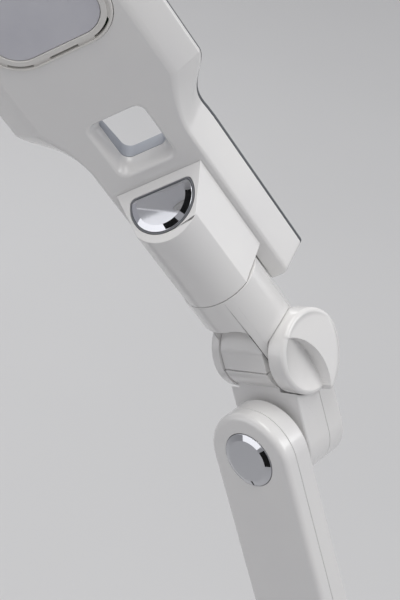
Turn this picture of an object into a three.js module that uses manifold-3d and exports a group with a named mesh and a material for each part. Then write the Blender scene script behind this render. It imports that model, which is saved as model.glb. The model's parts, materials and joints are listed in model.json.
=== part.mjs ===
// Articulated floor lamp: a weighted foot and a column, a flat arm between two
// pivots, a block with a clamped barrel hinge, and a paddle-shaped LED head that
// rolls about its round neck. Millimetres, +Z up, origin at the centre of the
// foot's underside. The flat faces of the arm look along -Y.
import * as THREE from 'three';
import { mergeVertices } from 'three/addons/utils/BufferGeometryUtils.js';
import Module from 'manifold-3d';

const wasm = await Module();
wasm.setup();

// ---- driving dimensions -------------------------------------------------
const GAP = 0.3;                 // clearance between neighbouring pieces
const ROUND = 36;                // sides of a large round piece
const SMALL = 14;                // sides of a pin or a screw

// foot and column
const PAD_RADIUS = 150, PAD_THICK = 3;
const COVER_RADIUS = 155, COVER_TOP = 36, COVER_WALL = 2.4;
const WEIGHT_RADIUS = 146, WEIGHT_TOP = 27;
const COLUMN_RADIUS = 19, COLUMN_WALL = 2, COLUMN_TOP = 620;
const TURRET_PIVOT_HEIGHT = 702;

// arm
const ARM_RADIUS = 30.7, ARM_THICK = 23.4, ARM_SEAM = 10.3, ARM_WALL = 2.4;
const ARM_LENGTH = 520, ARM_LEAN = 18.7, ARM_FRONT_EDGE = 6, ARM_REAR_EDGE = 2;
const DISC_RADIUS = 18.4, DISC_DEPTH = 3;
const PIN_RADIUS = 5, NUT_RADIUS = 8.5;

// pivot blocks behind the arm
const BLOCK_FRONT = 27, BLOCK_BACK = 64, BLOCK_SEAM = 47.6;
const BLOCK_RADIUS = 27.2, BLOCK_WALL = 2.6, BLOCK_EDGE = 1.5, BLOCK_BACK_EDGE = 4;

// barrel hinge, its axis along X
const HINGE_BACK = 44, HINGE_UP = 56.8, HEAD_TILT = 25.1;
const CORE_RADIUS = 25.5, CORE_LEFT = -19.9, CORE_RIGHT = 14.7, CORE_SPLIT = -5.4;
const CHEEK_LEFT = -27.5, CHEEK_LEFT_RADIUS = 26.5, CHEEK_RIGHT = 20, CHEEK_RIGHT_RADIUS = 21;
const KNOB_START = 20.4, KNOB_FACE = 33, KNOB_RADIUS = 27, BOLT_RADIUS = 4;
const RIDGE_TOP = 36.2, RIDGE_SLOPE = 0.15, RIDGE_ARC = 30;

// neck and swivel
const NECK_RADIUS = 25, NECK_SEAM = 67.2, HEAD_ROLL = 31.7;
const ARCH_LEFT = -20.2, ARCH_RIGHT = 16.4, ARCH_TOP = 43.5;
const SWIVEL_RADIUS = 9;

// head: x across, y to the back, z along the neck, measured from the hinge
const FACE = 14.5, NARROW_FRONT = 32.6, NARROW_BACK = 43.7;
const WIDE_FRONT = 44.5, WIDE_BACK = 61.5, WIDE_DEPTH = 24.5;
const TAIL_END = 38.5, HEAD_END = 392, SHOULDER_START = 158, SHOULDER_END = 200;
const BACK_NARROW = 37, BACK_WIDE = 30, BACK_PLATE = 1.8, SHELL_WALL = 2.3;
const WINDOW = { half: 15, low: 153.5, high: 187.5, radius: 6, flare: 5, seam: 26.2 };
const LENS = { half: 34, low: 246.5, high: 374, radius: 17 };
const RIM_WIDTH = 6.8, RIM_RAISE = 1;
const D_TOP = { y: 15, z: 140.5 }, D_FOOT = { y: -25, z: 124.4 };
const BUTTON_RADIUS = 20.3, BUTTON_CENTRE = 16, BUTTON_EDGE = 8.6, BUTTON_BEZEL = 0.9, BUTTON_CORNER = 4;

// ---- materials ----------------------------------------------------------
const look = (color, roughness, metalness = 0) => ({ color, roughness, metalness });
const LOOKS = {
  white: look(0xe6e5e3, 0.25), dark: look(0x55585c, 0.45), wall: look(0x7f838c, 0.4),
  lens: look(0x9c9ca6, 0.5), rim: look(0xd2cfca, 0.35), chrome: look(0xe8e9ea, 0.06, 1),
  steel: look(0xa5a8aa, 0.35, 1), iron: look(0x3b3c3e, 0.7, 0.6), rubber: look(0x1f1f20, 0.85),
  nylon: look(0xd9d6cc, 0.6), aluminium: look(0xc2c5c8, 0.4, 1), board: look(0x1f5c3a, 0.6),
  brass: look(0xb08d4a, 0.35, 1), box: look(0xefeeea, 0.6),
};

// ---- solids -------------------------------------------------------------
function solid(geometry) {
  const bare = geometry.clone();
  bare.deleteAttribute('normal');
  if (bare.attributes.uv) bare.deleteAttribute('uv');
  const merged = mergeVertices(bare, 1e-4);
  return new wasm.Manifold(new wasm.Mesh({
    numProp: 3,
    vertProperties: new Float32Array(merged.attributes.position.array),
    triVerts: new Uint32Array(merged.index.array),
  }));
}

function toGeometry(manifold) {
  const mesh = manifold.getMesh();
  const geometry = new THREE.BufferGeometry();
  geometry.setAttribute('position', new THREE.BufferAttribute(mesh.vertProperties, 3));
  geometry.setIndex(new THREE.BufferAttribute(mesh.triVerts, 1));
  const flat = geometry.toNonIndexed();
  flat.computeVertexNormals();
  return flat;
}

const join = (first, ...rest) => rest.reduce((sum, piece) => sum.add(piece), first);
const cut = (first, ...rest) => rest.reduce((left, piece) => left.subtract(piece), first);

// a block given by its corner ranges
function box(x0, x1, y0, y1, z0, z1) {
  const geometry = new THREE.BoxGeometry(x1 - x0, y1 - y0, z1 - z0);
  return solid(geometry.translate((x0 + x1) / 2, (y0 + y1) / 2, (z0 + z1) / 2));
}

// a turned piece: profile of [radius, height] pairs from the axis back to the axis
function turned(profile, axis = 'z', sides = ROUND) {
  const points = profile.map(([radius, height]) => new THREE.Vector2(radius, height));
  if (profile[0][0] > 0) points.push(points[0].clone());
  const geometry = new THREE.LatheGeometry(points, sides);
  if (axis === 'z') geometry.rotateX(Math.PI / 2);
  if (axis === 'x') geometry.rotateZ(-Math.PI / 2);
  return solid(outward(geometry));
}

// a round bar or a ring between two stations on an axis
function bar(radius, from, to, axis = 'z', sides = ROUND, bore = 0) {
  return turned([[bore, from], [radius, from], [radius, to], [bore, to]], axis, sides);
}

// a hexagon nut with a round bore
function hexNut(radius, bore, from, to, axis) {
  return cut(bar(radius, from, to, axis, 6), bar(bore, from - 1, to + 1, axis, SMALL));
}

// turns the faces over when a profile ran the other way round
function outward(geometry) {
  const position = geometry.attributes.position;
  const index = geometry.index;
  const corners = [new THREE.Vector3(), new THREE.Vector3(), new THREE.Vector3()];
  let volume = 0;
  for (let i = 0; i < index.count; i += 3) {
    corners.forEach((corner, k) => corner.fromBufferAttribute(position, index.getX(i + k)));
    volume += corners[0].dot(corners[1].cross(corners[2]));
  }
  if (volume < 0) {
    for (let i = 0; i < index.count; i += 3) {
      const first = index.getX(i);
      index.setX(i, index.getX(i + 1));
      index.setX(i + 1, first);
    }
  }
  return geometry;
}

// an outline in the XZ plane, extruded along Y; bevel rounds both end faces
function slab(outline, y0, y1, bevel = 0, steps = 1) {
  const shape = new THREE.Shape(outline.map(([x, z]) => new THREE.Vector2(x, z)));
  const geometry = new THREE.ExtrudeGeometry(shape, {
    depth: y1 - y0 - 2 * bevel, steps, curveSegments: 8, bevelEnabled: bevel > 0,
    bevelThickness: bevel, bevelSize: bevel, bevelOffset: -bevel, bevelSegments: bevel > 3 ? 4 : 2,
  });
  return geometry.translate(0, 0, bevel).rotateX(Math.PI / 2).translate(0, y1, 0);
}
const slabSolid = (outline, y0, y1, bevel = 0) => solid(slab(outline, y0, y1, bevel));

// an outline in the YZ plane, extruded along X
function sideSolid(outline, x0, x1) {
  const shape = new THREE.Shape(outline.map(([y, z]) => new THREE.Vector2(y, z)));
  const geometry = new THREE.ExtrudeGeometry(shape, { depth: x1 - x0, bevelEnabled: false });
  const turn = new THREE.Matrix4().makeBasis(
    new THREE.Vector3(0, 1, 0), new THREE.Vector3(0, 0, 1), new THREE.Vector3(1, 0, 0));
  return solid(geometry.applyMatrix4(turn).translate(x0, 0, 0));
}

// outline with straight sides and round ends, from z0 to z1 between the end centres
function stadium(radius, z0, z1, sides = ROUND / 2) {
  const points = [];
  for (let i = 0; i <= sides; i += 1) {
    const angle = Math.PI + (Math.PI * i) / sides;
    points.push([radius * Math.cos(angle), z0 + radius * Math.sin(angle)]);
  }
  for (let i = 0; i <= sides; i += 1) {
    const angle = (Math.PI * i) / sides;
    points.push([radius * Math.cos(angle), z1 + radius * Math.sin(angle)]);
  }
  return points;
}

// rectangle with round corners
function roundedRect(x0, x1, z0, z1, radius, perCorner = 6) {
  const corners = [
    [x1 - radius, z1 - radius, 0], [x0 + radius, z1 - radius, 1],
    [x0 + radius, z0 + radius, 2], [x1 - radius, z0 + radius, 3]];
  return corners.flatMap(([cx, cz, quarter]) => {
    const arc = [];
    for (let i = 0; i <= perCorner; i += 1) {
      const angle = (Math.PI / 2) * (quarter + i / perCorner);
      arc.push([cx + radius * Math.cos(angle), cz + radius * Math.sin(angle)]);
    }
    return arc;
  });
}

const clamp01 = (value) => Math.min(1, Math.max(0, value));
const ease = (value) => { const t = clamp01(value); return t * t * (3 - 2 * t); };
const mix = (a, b, t) => a + (b - a) * t;

// ---- scene graph --------------------------------------------------------
const lamp = new THREE.Group();
lamp.name = 'floor_lamp';

function place(parent, name, body, style) {
  const geometry = body.isBufferGeometry ? body : toGeometry(body);
  const mesh = new THREE.Mesh(geometry, new THREE.MeshStandardMaterial(LOOKS[style]));
  mesh.name = name;
  parent.add(mesh);
  return mesh;
}

function frame(parent, position, turnX = 0, turnY = 0, turnZ = 0) {
  const group = new THREE.Group();
  group.position.set(...position);
  group.rotation.set(...[turnX, turnY, turnZ].map(THREE.MathUtils.degToRad));
  parent.add(group);
  return group;
}

// ---- foot and column ----------------------------------------------------
function buildStand(parent) {
  place(parent, 'base_pad', bar(PAD_RADIUS, 0, PAD_THICK), 'rubber');

  const weight = turned([[7, PAD_THICK + GAP], [WEIGHT_RADIUS, PAD_THICK + GAP],
    [WEIGHT_RADIUS, 20], [WEIGHT_RADIUS - 10, WEIGHT_TOP], [7, WEIGHT_TOP]]);
  const boltRecess = bar(14, 0, 13);
  const inletPocket = box(-14, 14, 112, 170, 8, 40);
  place(parent, 'base_weight', cut(weight, boltRecess, inletPocket), 'iron');

  const inner = COVER_RADIUS - COVER_WALL;
  const cover = turned([[COLUMN_RADIUS + GAP, COVER_TOP - COVER_WALL], [inner - 14, COVER_TOP - 4.4],
    [inner - 4, COVER_TOP - 9], [inner, 20], [inner, PAD_THICK + GAP], [COVER_RADIUS, PAD_THICK + GAP],
    [COVER_RADIUS, 20], [COVER_RADIUS - 4, COVER_TOP - 7], [COVER_RADIUS - 16, COVER_TOP - 2],
    [COLUMN_RADIUS + GAP, COVER_TOP]], 'z', 48);
  const inletHole = box(-9.3, 9.3, 130, 170, 9.7, 22.3);
  place(parent, 'base_cover', cut(cover, inletHole), 'white');

  const socket = bar(4.4, 138, 160, 'y', SMALL).translate([0, 0, 16]);
  const inlet = cut(box(-9, 9, 128, COVER_RADIUS - 0.5, 10, 22), socket);
  place(parent, 'base_power_inlet', inlet, 'rubber');

  const tube = bar(COLUMN_RADIUS, WEIGHT_TOP + GAP, COLUMN_TOP, 'z', ROUND, COLUMN_RADIUS - COLUMN_WALL);
  place(parent, 'column_tube', tube, 'white');
  const plugRadius = COLUMN_RADIUS - COLUMN_WALL - 0.2;
  place(parent, 'column_plug', bar(plugRadius, WEIGHT_TOP + GAP, 70, 'z', ROUND, 6.3), 'aluminium');
  const bolt = turned([[0, 4.5], [11, 4.5], [11, 12.5], [6, 12.5], [6, 62], [0, 62]], 'z', SMALL);
  place(parent, 'column_bolt', bolt, 'steel');
  const collar = turned([[COLUMN_RADIUS + GAP, COVER_TOP + GAP], [31, COVER_TOP + GAP],
    [30, COVER_TOP + 4], [24, COVER_TOP + 9], [COLUMN_RADIUS + GAP, COVER_TOP + 10]]);
  place(parent, 'column_collar', collar, 'chrome');
  const bush = turned([[9.3, COLUMN_TOP - 70], [plugRadius, COLUMN_TOP - 70],
    [plugRadius, COLUMN_TOP + GAP], [COLUMN_RADIUS, COLUMN_TOP + GAP],
    [COLUMN_RADIUS, COLUMN_TOP + 2.5], [9.3, COLUMN_TOP + 2.5]]);
  place(parent, 'swivel_bush', bush, 'nylon');
}

// ---- pivot block shells, shared by both ends of the arm -----------------
function blockShells(outline, inset, extraFront, extraRear, trims) {
  const front = slabSolid(outline, BLOCK_FRONT, BLOCK_BACK, BLOCK_EDGE).intersect(
    box(-200, 200, 0, BLOCK_SEAM - GAP / 2, -200, 200));
  const rear = slabSolid(outline, BLOCK_FRONT, BLOCK_BACK, BLOCK_BACK_EDGE).intersect(
    box(-200, 200, BLOCK_SEAM + GAP / 2, 200, -200, 200));
  const frontHollow = slabSolid(inset, BLOCK_FRONT + BLOCK_WALL, BLOCK_SEAM + 1);
  const rearHollow = slabSolid(inset, BLOCK_SEAM - 1, BLOCK_BACK - BLOCK_WALL);
  const boss = (from, to) => bar(11, from, to, 'y', 24);
  const bore = bar(PIN_RADIUS + GAP, 0, BLOCK_BACK - BLOCK_WALL, 'y', SMALL);
  const headRoom = bar(10, BLOCK_SEAM + 10, BLOCK_BACK - BLOCK_WALL, 'y', 24);
  let frontShell = join(cut(front, frontHollow), boss(BLOCK_FRONT + 1, BLOCK_SEAM - GAP / 2));
  let rearShell = join(cut(rear, rearHollow), boss(BLOCK_SEAM + GAP / 2, BLOCK_BACK - 1));
  frontShell = cut(join(frontShell, ...extraFront), bore, ...trims);
  rearShell = cut(join(rearShell, ...extraRear), bore, headRoom, ...trims);
  return [frontShell, rearShell];
}

// pin, nut, spacer and chrome disc on one arm pivot
function pivotHardware(armFrame, blockFrame, prefix) {
  const pin = turned([[0, 3.9], [PIN_RADIUS, 3.9], [PIN_RADIUS, BLOCK_SEAM + 10 + GAP],
    [9.4, BLOCK_SEAM + 10 + GAP], [9.4, BLOCK_BACK - BLOCK_WALL - 1], [0, BLOCK_BACK - BLOCK_WALL - 1]],
  'y', SMALL + 4);
  place(blockFrame, `${prefix}_pivot_pin`, pin, 'steel');
  const spacer = bar(16, ARM_THICK + GAP, BLOCK_FRONT - GAP, 'y', 32, PIN_RADIUS + GAP);
  place(blockFrame, `${prefix}_pivot_washer`, spacer, 'nylon');
  const nut = hexNut(NUT_RADIUS, PIN_RADIUS + GAP, 3.6, 8, 'y');
  place(armFrame, `${prefix}_pivot_nut`, nut, 'steel');
  const disc = turned([[0, -1.7], [DISC_RADIUS - 4.2, -1.7], [DISC_RADIUS - 0.3, -0.2],
    [DISC_RADIUS - 0.3, DISC_DEPTH], [0, DISC_DEPTH]], 'y', ROUND);
  place(armFrame, `${prefix}_disc_cap`, disc, 'chrome');
}

// ---- arm ----------------------------------------------------------------
function buildArm(parent) {
  const pivots = [0, ARM_LENGTH];
  const screwSpots = [-23.5, 23.5].flatMap((x) => [0.25, 0.75].map((t) => [x, t * ARM_LENGTH]));
  const whole = (edge) => slabSolid(stadium(ARM_RADIUS, 0, ARM_LENGTH), 0, ARM_THICK, edge);
  const inside = stadium(ARM_RADIUS - ARM_WALL, 0, ARM_LENGTH);

  let front = whole(ARM_FRONT_EDGE).intersect(box(-50, 50, -5, ARM_SEAM - GAP / 2, -100, ARM_LENGTH + 100));
  front = cut(front, slabSolid(inside, ARM_WALL, ARM_SEAM + 1));
  let rear = whole(ARM_REAR_EDGE).intersect(box(-50, 50, ARM_SEAM + GAP / 2, 50, -100, ARM_LENGTH + 100));
  rear = cut(rear, slabSolid(inside, ARM_SEAM - 1, ARM_THICK - ARM_WALL));
  for (const z of pivots) {
    const at = (piece) => piece.translate([0, 0, z]);
    front = join(front, at(bar(23, ARM_WALL - 1, ARM_SEAM - GAP / 2, 'y')));
    front = cut(front, at(bar(DISC_RADIUS, -5, DISC_DEPTH + GAP, 'y')),
      at(bar(11, 0, 8.3, 'y', 24)), at(bar(PIN_RADIUS + GAP, 0, 30, 'y', SMALL)));
    rear = join(rear, at(bar(14, 17.3, ARM_THICK - 1, 'y', 24)));
    rear = cut(rear, at(bar(PIN_RADIUS + GAP, 0, 30, 'y', SMALL)));
  }
  for (const [x, z] of screwSpots) {
    const at = (piece) => piece.translate([x, 0, z]);
    front = join(front, at(bar(4.2, ARM_WALL - 1, ARM_SEAM - GAP / 2, 'y', SMALL)));
    front = cut(front, at(bar(1.8, 4, 30, 'y', 12)));
    rear = join(rear, at(bar(4.6, ARM_SEAM + GAP / 2, ARM_THICK - 1, 'y', SMALL)));
    rear = cut(rear, at(bar(1.8, 0, 30, 'y', 12)), at(bar(3.4, 16, 30, 'y', 16)));
  }
  place(parent, 'arm_front_shell', front, 'white');
  place(parent, 'arm_rear_shell', rear, 'white');

  let spine = slabSolid(stadium(18, 0, ARM_LENGTH, 12), ARM_SEAM + 0.6, 17);
  for (const z of pivots) {
    spine = cut(spine, bar(PIN_RADIUS + GAP, 0, 30, 'y', SMALL).translate([0, 0, z]));
  }
  place(parent, 'arm_spine', spine, 'aluminium');

  screwSpots.forEach(([x, z], i) => {
    const screw = turned([[0, 5], [1.5, 5], [1.5, 16.3], [3.1, 16.3], [3.1, 18.6], [0, 18.6]], 'y', 12);
    place(parent, `arm_screw_${i + 1}`, screw.translate([x, 0, z]), 'steel');
  });
}

// ---- lower block on its turning stub ------------------------------------
function buildTurret(parent) {
  const neckTop = -(TURRET_PIVOT_HEIGHT - COLUMN_TOP - 3);
  const outline = stadium(BLOCK_RADIUS, -45, 0);
  const inset = stadium(BLOCK_RADIUS - BLOCK_WALL, -45, 0);
  const [front, rear] = blockShells(outline, inset, [], [], [bar(10.6, -90, -40, 'z', 24)
    .translate([0, (BLOCK_FRONT + BLOCK_BACK) / 2, 0])]);
  place(parent, 'turret_front_shell', front, 'white');
  place(parent, 'turret_rear_shell', rear, 'white');
  const middle = (BLOCK_FRONT + BLOCK_BACK) / 2;
  const stub = turned([[0, neckTop - 64], [SWIVEL_RADIUS, neckTop - 64], [SWIVEL_RADIUS, neckTop + GAP],
    [18, neckTop + GAP], [18, neckTop + 5], [10.3, neckTop + 6.3], [10.3, -34], [0, -34]]);
  place(parent, 'turret_stub', stub.translate([0, middle, 0]), 'chrome');
}

// ---- upper block with the barrel core -----------------------------------
function buildBlock(parent) {
  const hinge = (piece) => piece.translate([0, HINGE_BACK, HINGE_UP]);
  const side = (radius, x0, x1) => hinge(bar(radius, x0, x1, 'x'));
  const barrel = side(CORE_RADIUS, CORE_LEFT, CORE_RIGHT);
  const splitHeight = HINGE_UP + CORE_SPLIT;
  const below = (y0, y1) => barrel.intersect(box(-60, 60, y0, y1, 0, splitHeight - GAP));
  const outline = stadium(BLOCK_RADIUS, 0, HINGE_UP + 20);
  const inset = [...stadium(BLOCK_RADIUS - BLOCK_WALL, 0, 0, 16).slice(0, 17),
    [BLOCK_RADIUS - BLOCK_WALL, HINGE_UP - CORE_RADIUS - 4],
    [-BLOCK_RADIUS + BLOCK_WALL, HINGE_UP - CORE_RADIUS - 4]];
  const trims = [side(KNOB_RADIUS + 0.6, CORE_RIGHT, 60), side(KNOB_RADIUS + 0.6, -60, CORE_LEFT),
    box(-60, 60, -20, 120, splitHeight - GAP, 200)];
  const [front, rear] = blockShells(outline, inset, [below(-60, BLOCK_SEAM - GAP / 2)],
    [below(BLOCK_SEAM + GAP / 2, 120)], trims);
  place(parent, 'block_front_shell', front, 'white');
  place(parent, 'block_rear_shell', rear, 'white');

  const facet = hinge(box(-60, 60, -60, -CORE_RADIUS + 0.9, -60, 60))
    .intersect(hinge(box(-60, 60, -60, 0, CORE_SPLIT - 1, 8.2)));
  const core = cut(barrel.intersect(box(-60, 60, -60, 120, splitHeight, 200)), facet,
    side(BOLT_RADIUS + GAP, -60, 60));
  place(parent, 'block_core', core, 'white');
}

// ---- neck fork, hinge bolt and clamp knob -------------------------------
function buildNeck(parent) {
  const tube = bar(NECK_RADIUS, 0, NECK_SEAM - GAP, 'z', ROUND);
  const leftCheek = turned([[0, CHEEK_LEFT], [CHEEK_LEFT_RADIUS - 2, CHEEK_LEFT],
    [CHEEK_LEFT_RADIUS, CHEEK_LEFT + 2], [CHEEK_LEFT_RADIUS, CORE_LEFT - GAP], [0, CORE_LEFT - GAP]], 'x');
  const rightCheek = bar(CHEEK_RIGHT_RADIUS, CORE_RIGHT + GAP, CHEEK_RIGHT, 'x');
  const clearCore = bar(CORE_RADIUS + 0.5, CORE_LEFT - GAP, CORE_RIGHT + GAP, 'x');
  const clearKnob = bar(KNOB_RADIUS + 0.5, CHEEK_RIGHT, 60, 'x');
  const arch = slabSolid(roundedRect(ARCH_LEFT, ARCH_RIGHT, -20, ARCH_TOP, 9), -60, -9);
  const bolt = bar(BOLT_RADIUS + GAP, CHEEK_LEFT + 4, 60, 'x', SMALL);
  const washerSeat = bar(14.3, CHEEK_LEFT + 4.3, CORE_LEFT + 1, 'x', 24);
  const boltHead = bar(8.6, CHEEK_LEFT + 3, CHEEK_LEFT + 5, 'x', 24);
  const swivelBore = bar(SWIVEL_RADIUS + GAP, 46, 90, 'z', 24);
  let fork = cut(join(tube, rightCheek), clearCore, clearKnob, arch);
  fork = join(fork, leftCheek);
  fork = cut(fork, bolt, washerSeat, boltHead, swivelBore);
  place(parent, 'neck_fork', fork, 'white');
  const washer = bar(14, CHEEK_LEFT + 4.6, CORE_LEFT - GAP, 'x', 24, BOLT_RADIUS + GAP);
  place(parent, 'hinge_washer_left', washer, 'nylon');
  const boltBody = turned([[0, CHEEK_LEFT + 3.3], [8, CHEEK_LEFT + 3.3], [8, CHEEK_LEFT + 4.3],
    [BOLT_RADIUS, CHEEK_LEFT + 4.3], [BOLT_RADIUS, KNOB_START + 4.6], [0, KNOB_START + 4.6]], 'x', SMALL);
  place(parent, 'hinge_bolt', boltBody, 'steel');
  const swivel = bar(SWIVEL_RADIUS, 46 + GAP, 100, 'z', 24, SWIVEL_RADIUS - 2.2);
  place(parent, 'swivel_tube', swivel, 'steel');
}

function buildKnob(parent) {
  const body = turned([[0, KNOB_START], [KNOB_RADIUS - 1, KNOB_START], [KNOB_RADIUS, KNOB_START + 1],
    [KNOB_RADIUS, KNOB_FACE - 1.6], [KNOB_RADIUS - 1.2, KNOB_FACE - 0.4],
    [KNOB_RADIUS - 2.4, KNOB_FACE - 0.7], [15, KNOB_FACE - 4.2], [0, KNOB_FACE - 5.6]], 'x');
  // a crescent ridge rises across the face and is highest at its lower end
  const drop = RIDGE_SLOPE * 40;
  const ridgeTop = solid(new THREE.ExtrudeGeometry(new THREE.Shape([
    [KNOB_START + 2, -40], [RIDGE_TOP + drop, -40], [RIDGE_TOP - drop, 40], [KNOB_START + 2, 40],
  ].map(([x, z]) => new THREE.Vector2(x, z))), { depth: 80, bevelEnabled: false })
    .rotateX(Math.PI / 2).translate(0, 40, 0));
  const rightSlope = turned([[0, 0], [43, 0], [43, 31], [RIDGE_ARC, 40.5], [0, 40.5]], 'x')
    .translate([0, -15, 0]);
  const scoop = bar(RIDGE_ARC, 0, 60, 'x', 64).translate([0, -27, -13]);
  const ridge = cut(bar(KNOB_RADIUS - 0.6, KNOB_START + 2, 50, 'x').intersect(ridgeTop)
    .intersect(rightSlope), scoop).rotate([-HEAD_TILT, 0, 0]);
  const socket = bar(9.3, KNOB_START - 1, KNOB_START + 5, 'x', 6);
  place(parent, 'clamp_knob', cut(join(body, ridge), socket), 'white');
  place(parent, 'knob_nut', hexNut(9, BOLT_RADIUS + GAP, KNOB_START + GAP, KNOB_START + 4.7, 'x'), 'brass');
}

// ---- head ---------------------------------------------------------------
// share of the way from the narrow handle part to the wide lamp part
function shoulder(z, y) {
  const t = clamp01((z - SHOULDER_START) / (SHOULDER_END - SHOULDER_START));
  return mix(t ** 1.7, ease(t ** 1.35), clamp01((y - FACE) / 15));
}

function halfWidth(z, y) {
  const depth = Math.max(0, y - FACE);
  const narrow = mix(NARROW_FRONT, NARROW_BACK, clamp01(depth / (BACK_NARROW - FACE)));
  const wide = mix(WIDE_FRONT, WIDE_BACK, clamp01(depth / (WIDE_DEPTH - FACE)) ** 0.8);
  return mix(narrow, wide, shoulder(z, y));
}

// the far end slopes outward to the back as the sides do
function endShift(z, y) {
  const depth = clamp01((y - FACE) / (WIDE_DEPTH - FACE));
  return 14 * ease((z - (HEAD_END - 60)) / 60) * depth ** 0.8;
}

function headOutline(inset, low, high, cornerLow, cornerHigh) {
  const stations = [low + cornerLow, 100, 150];
  for (let z = SHOULDER_START; z <= SHOULDER_END; z += 6) stations.push(z);
  stations.push(260, high - cornerHigh);
  const right = stations.filter((z) => z >= low + cornerLow)
    .map((z) => [halfWidth(z, FACE) - inset, z]);
  const corner = (width, z, radius, rise) => {
    const arc = [];
    for (let i = 1; i <= 6; i += 1) {
      const angle = (Math.PI / 2) * (i / 6);
      arc.push([width - radius * (1 - Math.cos(angle)), z + rise * radius * Math.sin(angle)]);
    }
    return arc;
  };
  const startWidth = halfWidth(low + cornerLow, FACE) - inset;
  const endWidth = halfWidth(high - cornerHigh, FACE) - inset;
  const half = [...corner(startWidth, low + cornerLow, cornerLow, -1).reverse(), ...right,
    ...corner(endWidth, high - cornerHigh, cornerHigh, 1)];
  return [...half, ...half.map(([x, z]) => [-x, z]).reverse()];
}

// the head's outer form, or its hollow when inset: an extrusion that widens to the back
function headBody(inset, low, high, y0, y1) {
  const corners = inset > 0 ? [4, 14] : [4, 16];
  const geometry = slab(headOutline(inset, low, high, ...corners), y0, y1, 0, 6);
  const position = geometry.attributes.position;
  for (let i = 0; i < position.count; i += 1) {
    const [x, y, z] = [position.getX(i), position.getY(i), position.getZ(i)];
    const spread = (halfWidth(z, y) - inset) / (halfWidth(z, FACE) - inset);
    position.setXYZ(i, x * spread, y, z + endShift(z, y));
  }
  return solid(geometry);
}

// everything in front of the back surface, moved forward by an offset
function frontOfBack(offset, from = 0) {
  const outline = [[from, 20], [from, 430], [BACK_WIDE - offset, 430]];
  for (let i = 10; i >= 0; i -= 1) {
    const t = i / 10;
    outline.push([mix(BACK_NARROW, BACK_WIDE, ease(t)) - offset, 150 + 55 * t]);
  }
  outline.push([BACK_NARROW - offset, 20]);
  return sideSolid(outline, -100, 100);
}

// the finger opening: straight through the back, flared at the face
function windowPrism(grow, y0, y1, flare) {
  const geometry = slab(roundedRect(-WINDOW.half - grow, WINDOW.half + grow,
    WINDOW.low - grow, WINDOW.high + grow, WINDOW.radius + grow), y0, y1, 0, 4);
  const position = geometry.attributes.position;
  const middle = (WINDOW.low + WINDOW.high) / 2;
  for (let i = 0; i < position.count; i += 1) {
    const [x, y, z] = [position.getX(i), position.getY(i), position.getZ(i)];
    const open = flare * clamp01((WINDOW.seam - y) / (WINDOW.seam - FACE)) ** 1.5;
    position.setXYZ(i, x + Math.sign(x) * open, y, z + Math.sign(z - middle) * open);
  }
  return solid(geometry);
}

function buildHeadShells(parent) {
  const neckSlot = bar(NECK_RADIUS + 1.3, 0, NECK_SEAM + 0.6, 'z', ROUND);
  const outer = headBody(0, TAIL_END, HEAD_END, FACE, 45).intersect(frontOfBack(0));
  const hollow = headBody(SHELL_WALL, 73, HEAD_END - SHELL_WALL, FACE + SHELL_WALL, 46);
  const windowTube = windowPrism(SHELL_WALL, FACE - 5, WINDOW.seam - GAP / 2, WINDOW.flare);
  const rimOutline = roundedRect(-LENS.half - RIM_WIDTH - GAP, LENS.half + RIM_WIDTH + GAP,
    LENS.low - RIM_WIDTH - GAP, LENS.high + RIM_WIDTH + GAP, LENS.radius + RIM_WIDTH);
  const lensSeat = slabSolid(rimOutline, FACE - 1, FACE + SHELL_WALL + 1);
  const front = cut(outer.intersect(frontOfBack(BACK_PLATE + GAP)),
    cut(hollow, windowTube), lensSeat, neckSlot,
    windowPrism(0, FACE - 5, 50, WINDOW.flare));
  place(parent, 'head_front_shell', front, 'white');

  const plate = cut(outer, frontOfBack(BACK_PLATE), neckSlot);
  const collar = cut(windowPrism(SHELL_WALL, WINDOW.seam + GAP / 2, 40, 0),
    windowPrism(0, WINDOW.seam - 1, 50, 0)).intersect(frontOfBack(0));
  const back = cut(join(plate, collar), windowPrism(0, WINDOW.seam - 1, 50, 0));
  place(parent, 'head_back_cover', back, 'dark');
}

function buildLamp(parent) {
  const ring = (grow) => roundedRect(-LENS.half - grow, LENS.half + grow, LENS.low - grow,
    LENS.high + grow, LENS.radius + grow, 6);
  const groove = 4.4;
  let rim = cut(slabSolid(ring(RIM_WIDTH), FACE - RIM_RAISE, FACE + SHELL_WALL),
    slabSolid(ring(0), 0, 40));
  const channel = cut(slabSolid(ring(groove + 0.9), 0, FACE), slabSolid(ring(groove - 0.9), -1, 20));
  const vents = cut(slabSolid(ring(groove + 0.7), 0, 30), slabSolid(ring(groove - 0.7), -1, 40));
  const middle = (LENS.low + LENS.high) / 2;
  const windows = [-1, 1].flatMap((s) => [
    box(-9.3, 9.3, -5, 45, middle + s * 50, middle + s * 90),
    ...[-1, 1].map((side) => box(Math.min(side * 20, side * 33), Math.max(side * 20, side * 33),
      -5, 45, middle + s * 50, middle + s * 90))]);
  rim = cut(rim, channel, ...windows.map((room) => vents.intersect(room)));
  place(parent, 'lens_rim', rim, 'rim');
  place(parent, 'lens', slabSolid(ring(-GAP), FACE - 0.4, FACE + SHELL_WALL), 'lens');

  const plateLow = LENS.low - 4, plateHigh = LENS.high + 4;
  place(parent, 'led_board', box(-LENS.half, LENS.half, 20, 21.4, plateLow, plateHigh), 'board');
  const sink = box(-LENS.half - 6, LENS.half + 6, 21.7, 24, plateLow - 6, plateHigh + 6);
  const finCount = 5;
  let finned = sink;
  for (let i = 0; i < finCount; i += 1) {
    const x = mix(-36, 36, i / (finCount - 1));
    finned = join(finned, box(x - 0.8, x + 0.8, 23.5, 27, plateLow - 6, plateHigh + 6));
  }
  place(parent, 'heat_sink', finned, 'aluminium');
  const driver = slabSolid(roundedRect(-20, 20, 84, 136, 3, 3), 20, 33);
  place(parent, 'led_driver', driver, 'box');
}

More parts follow.
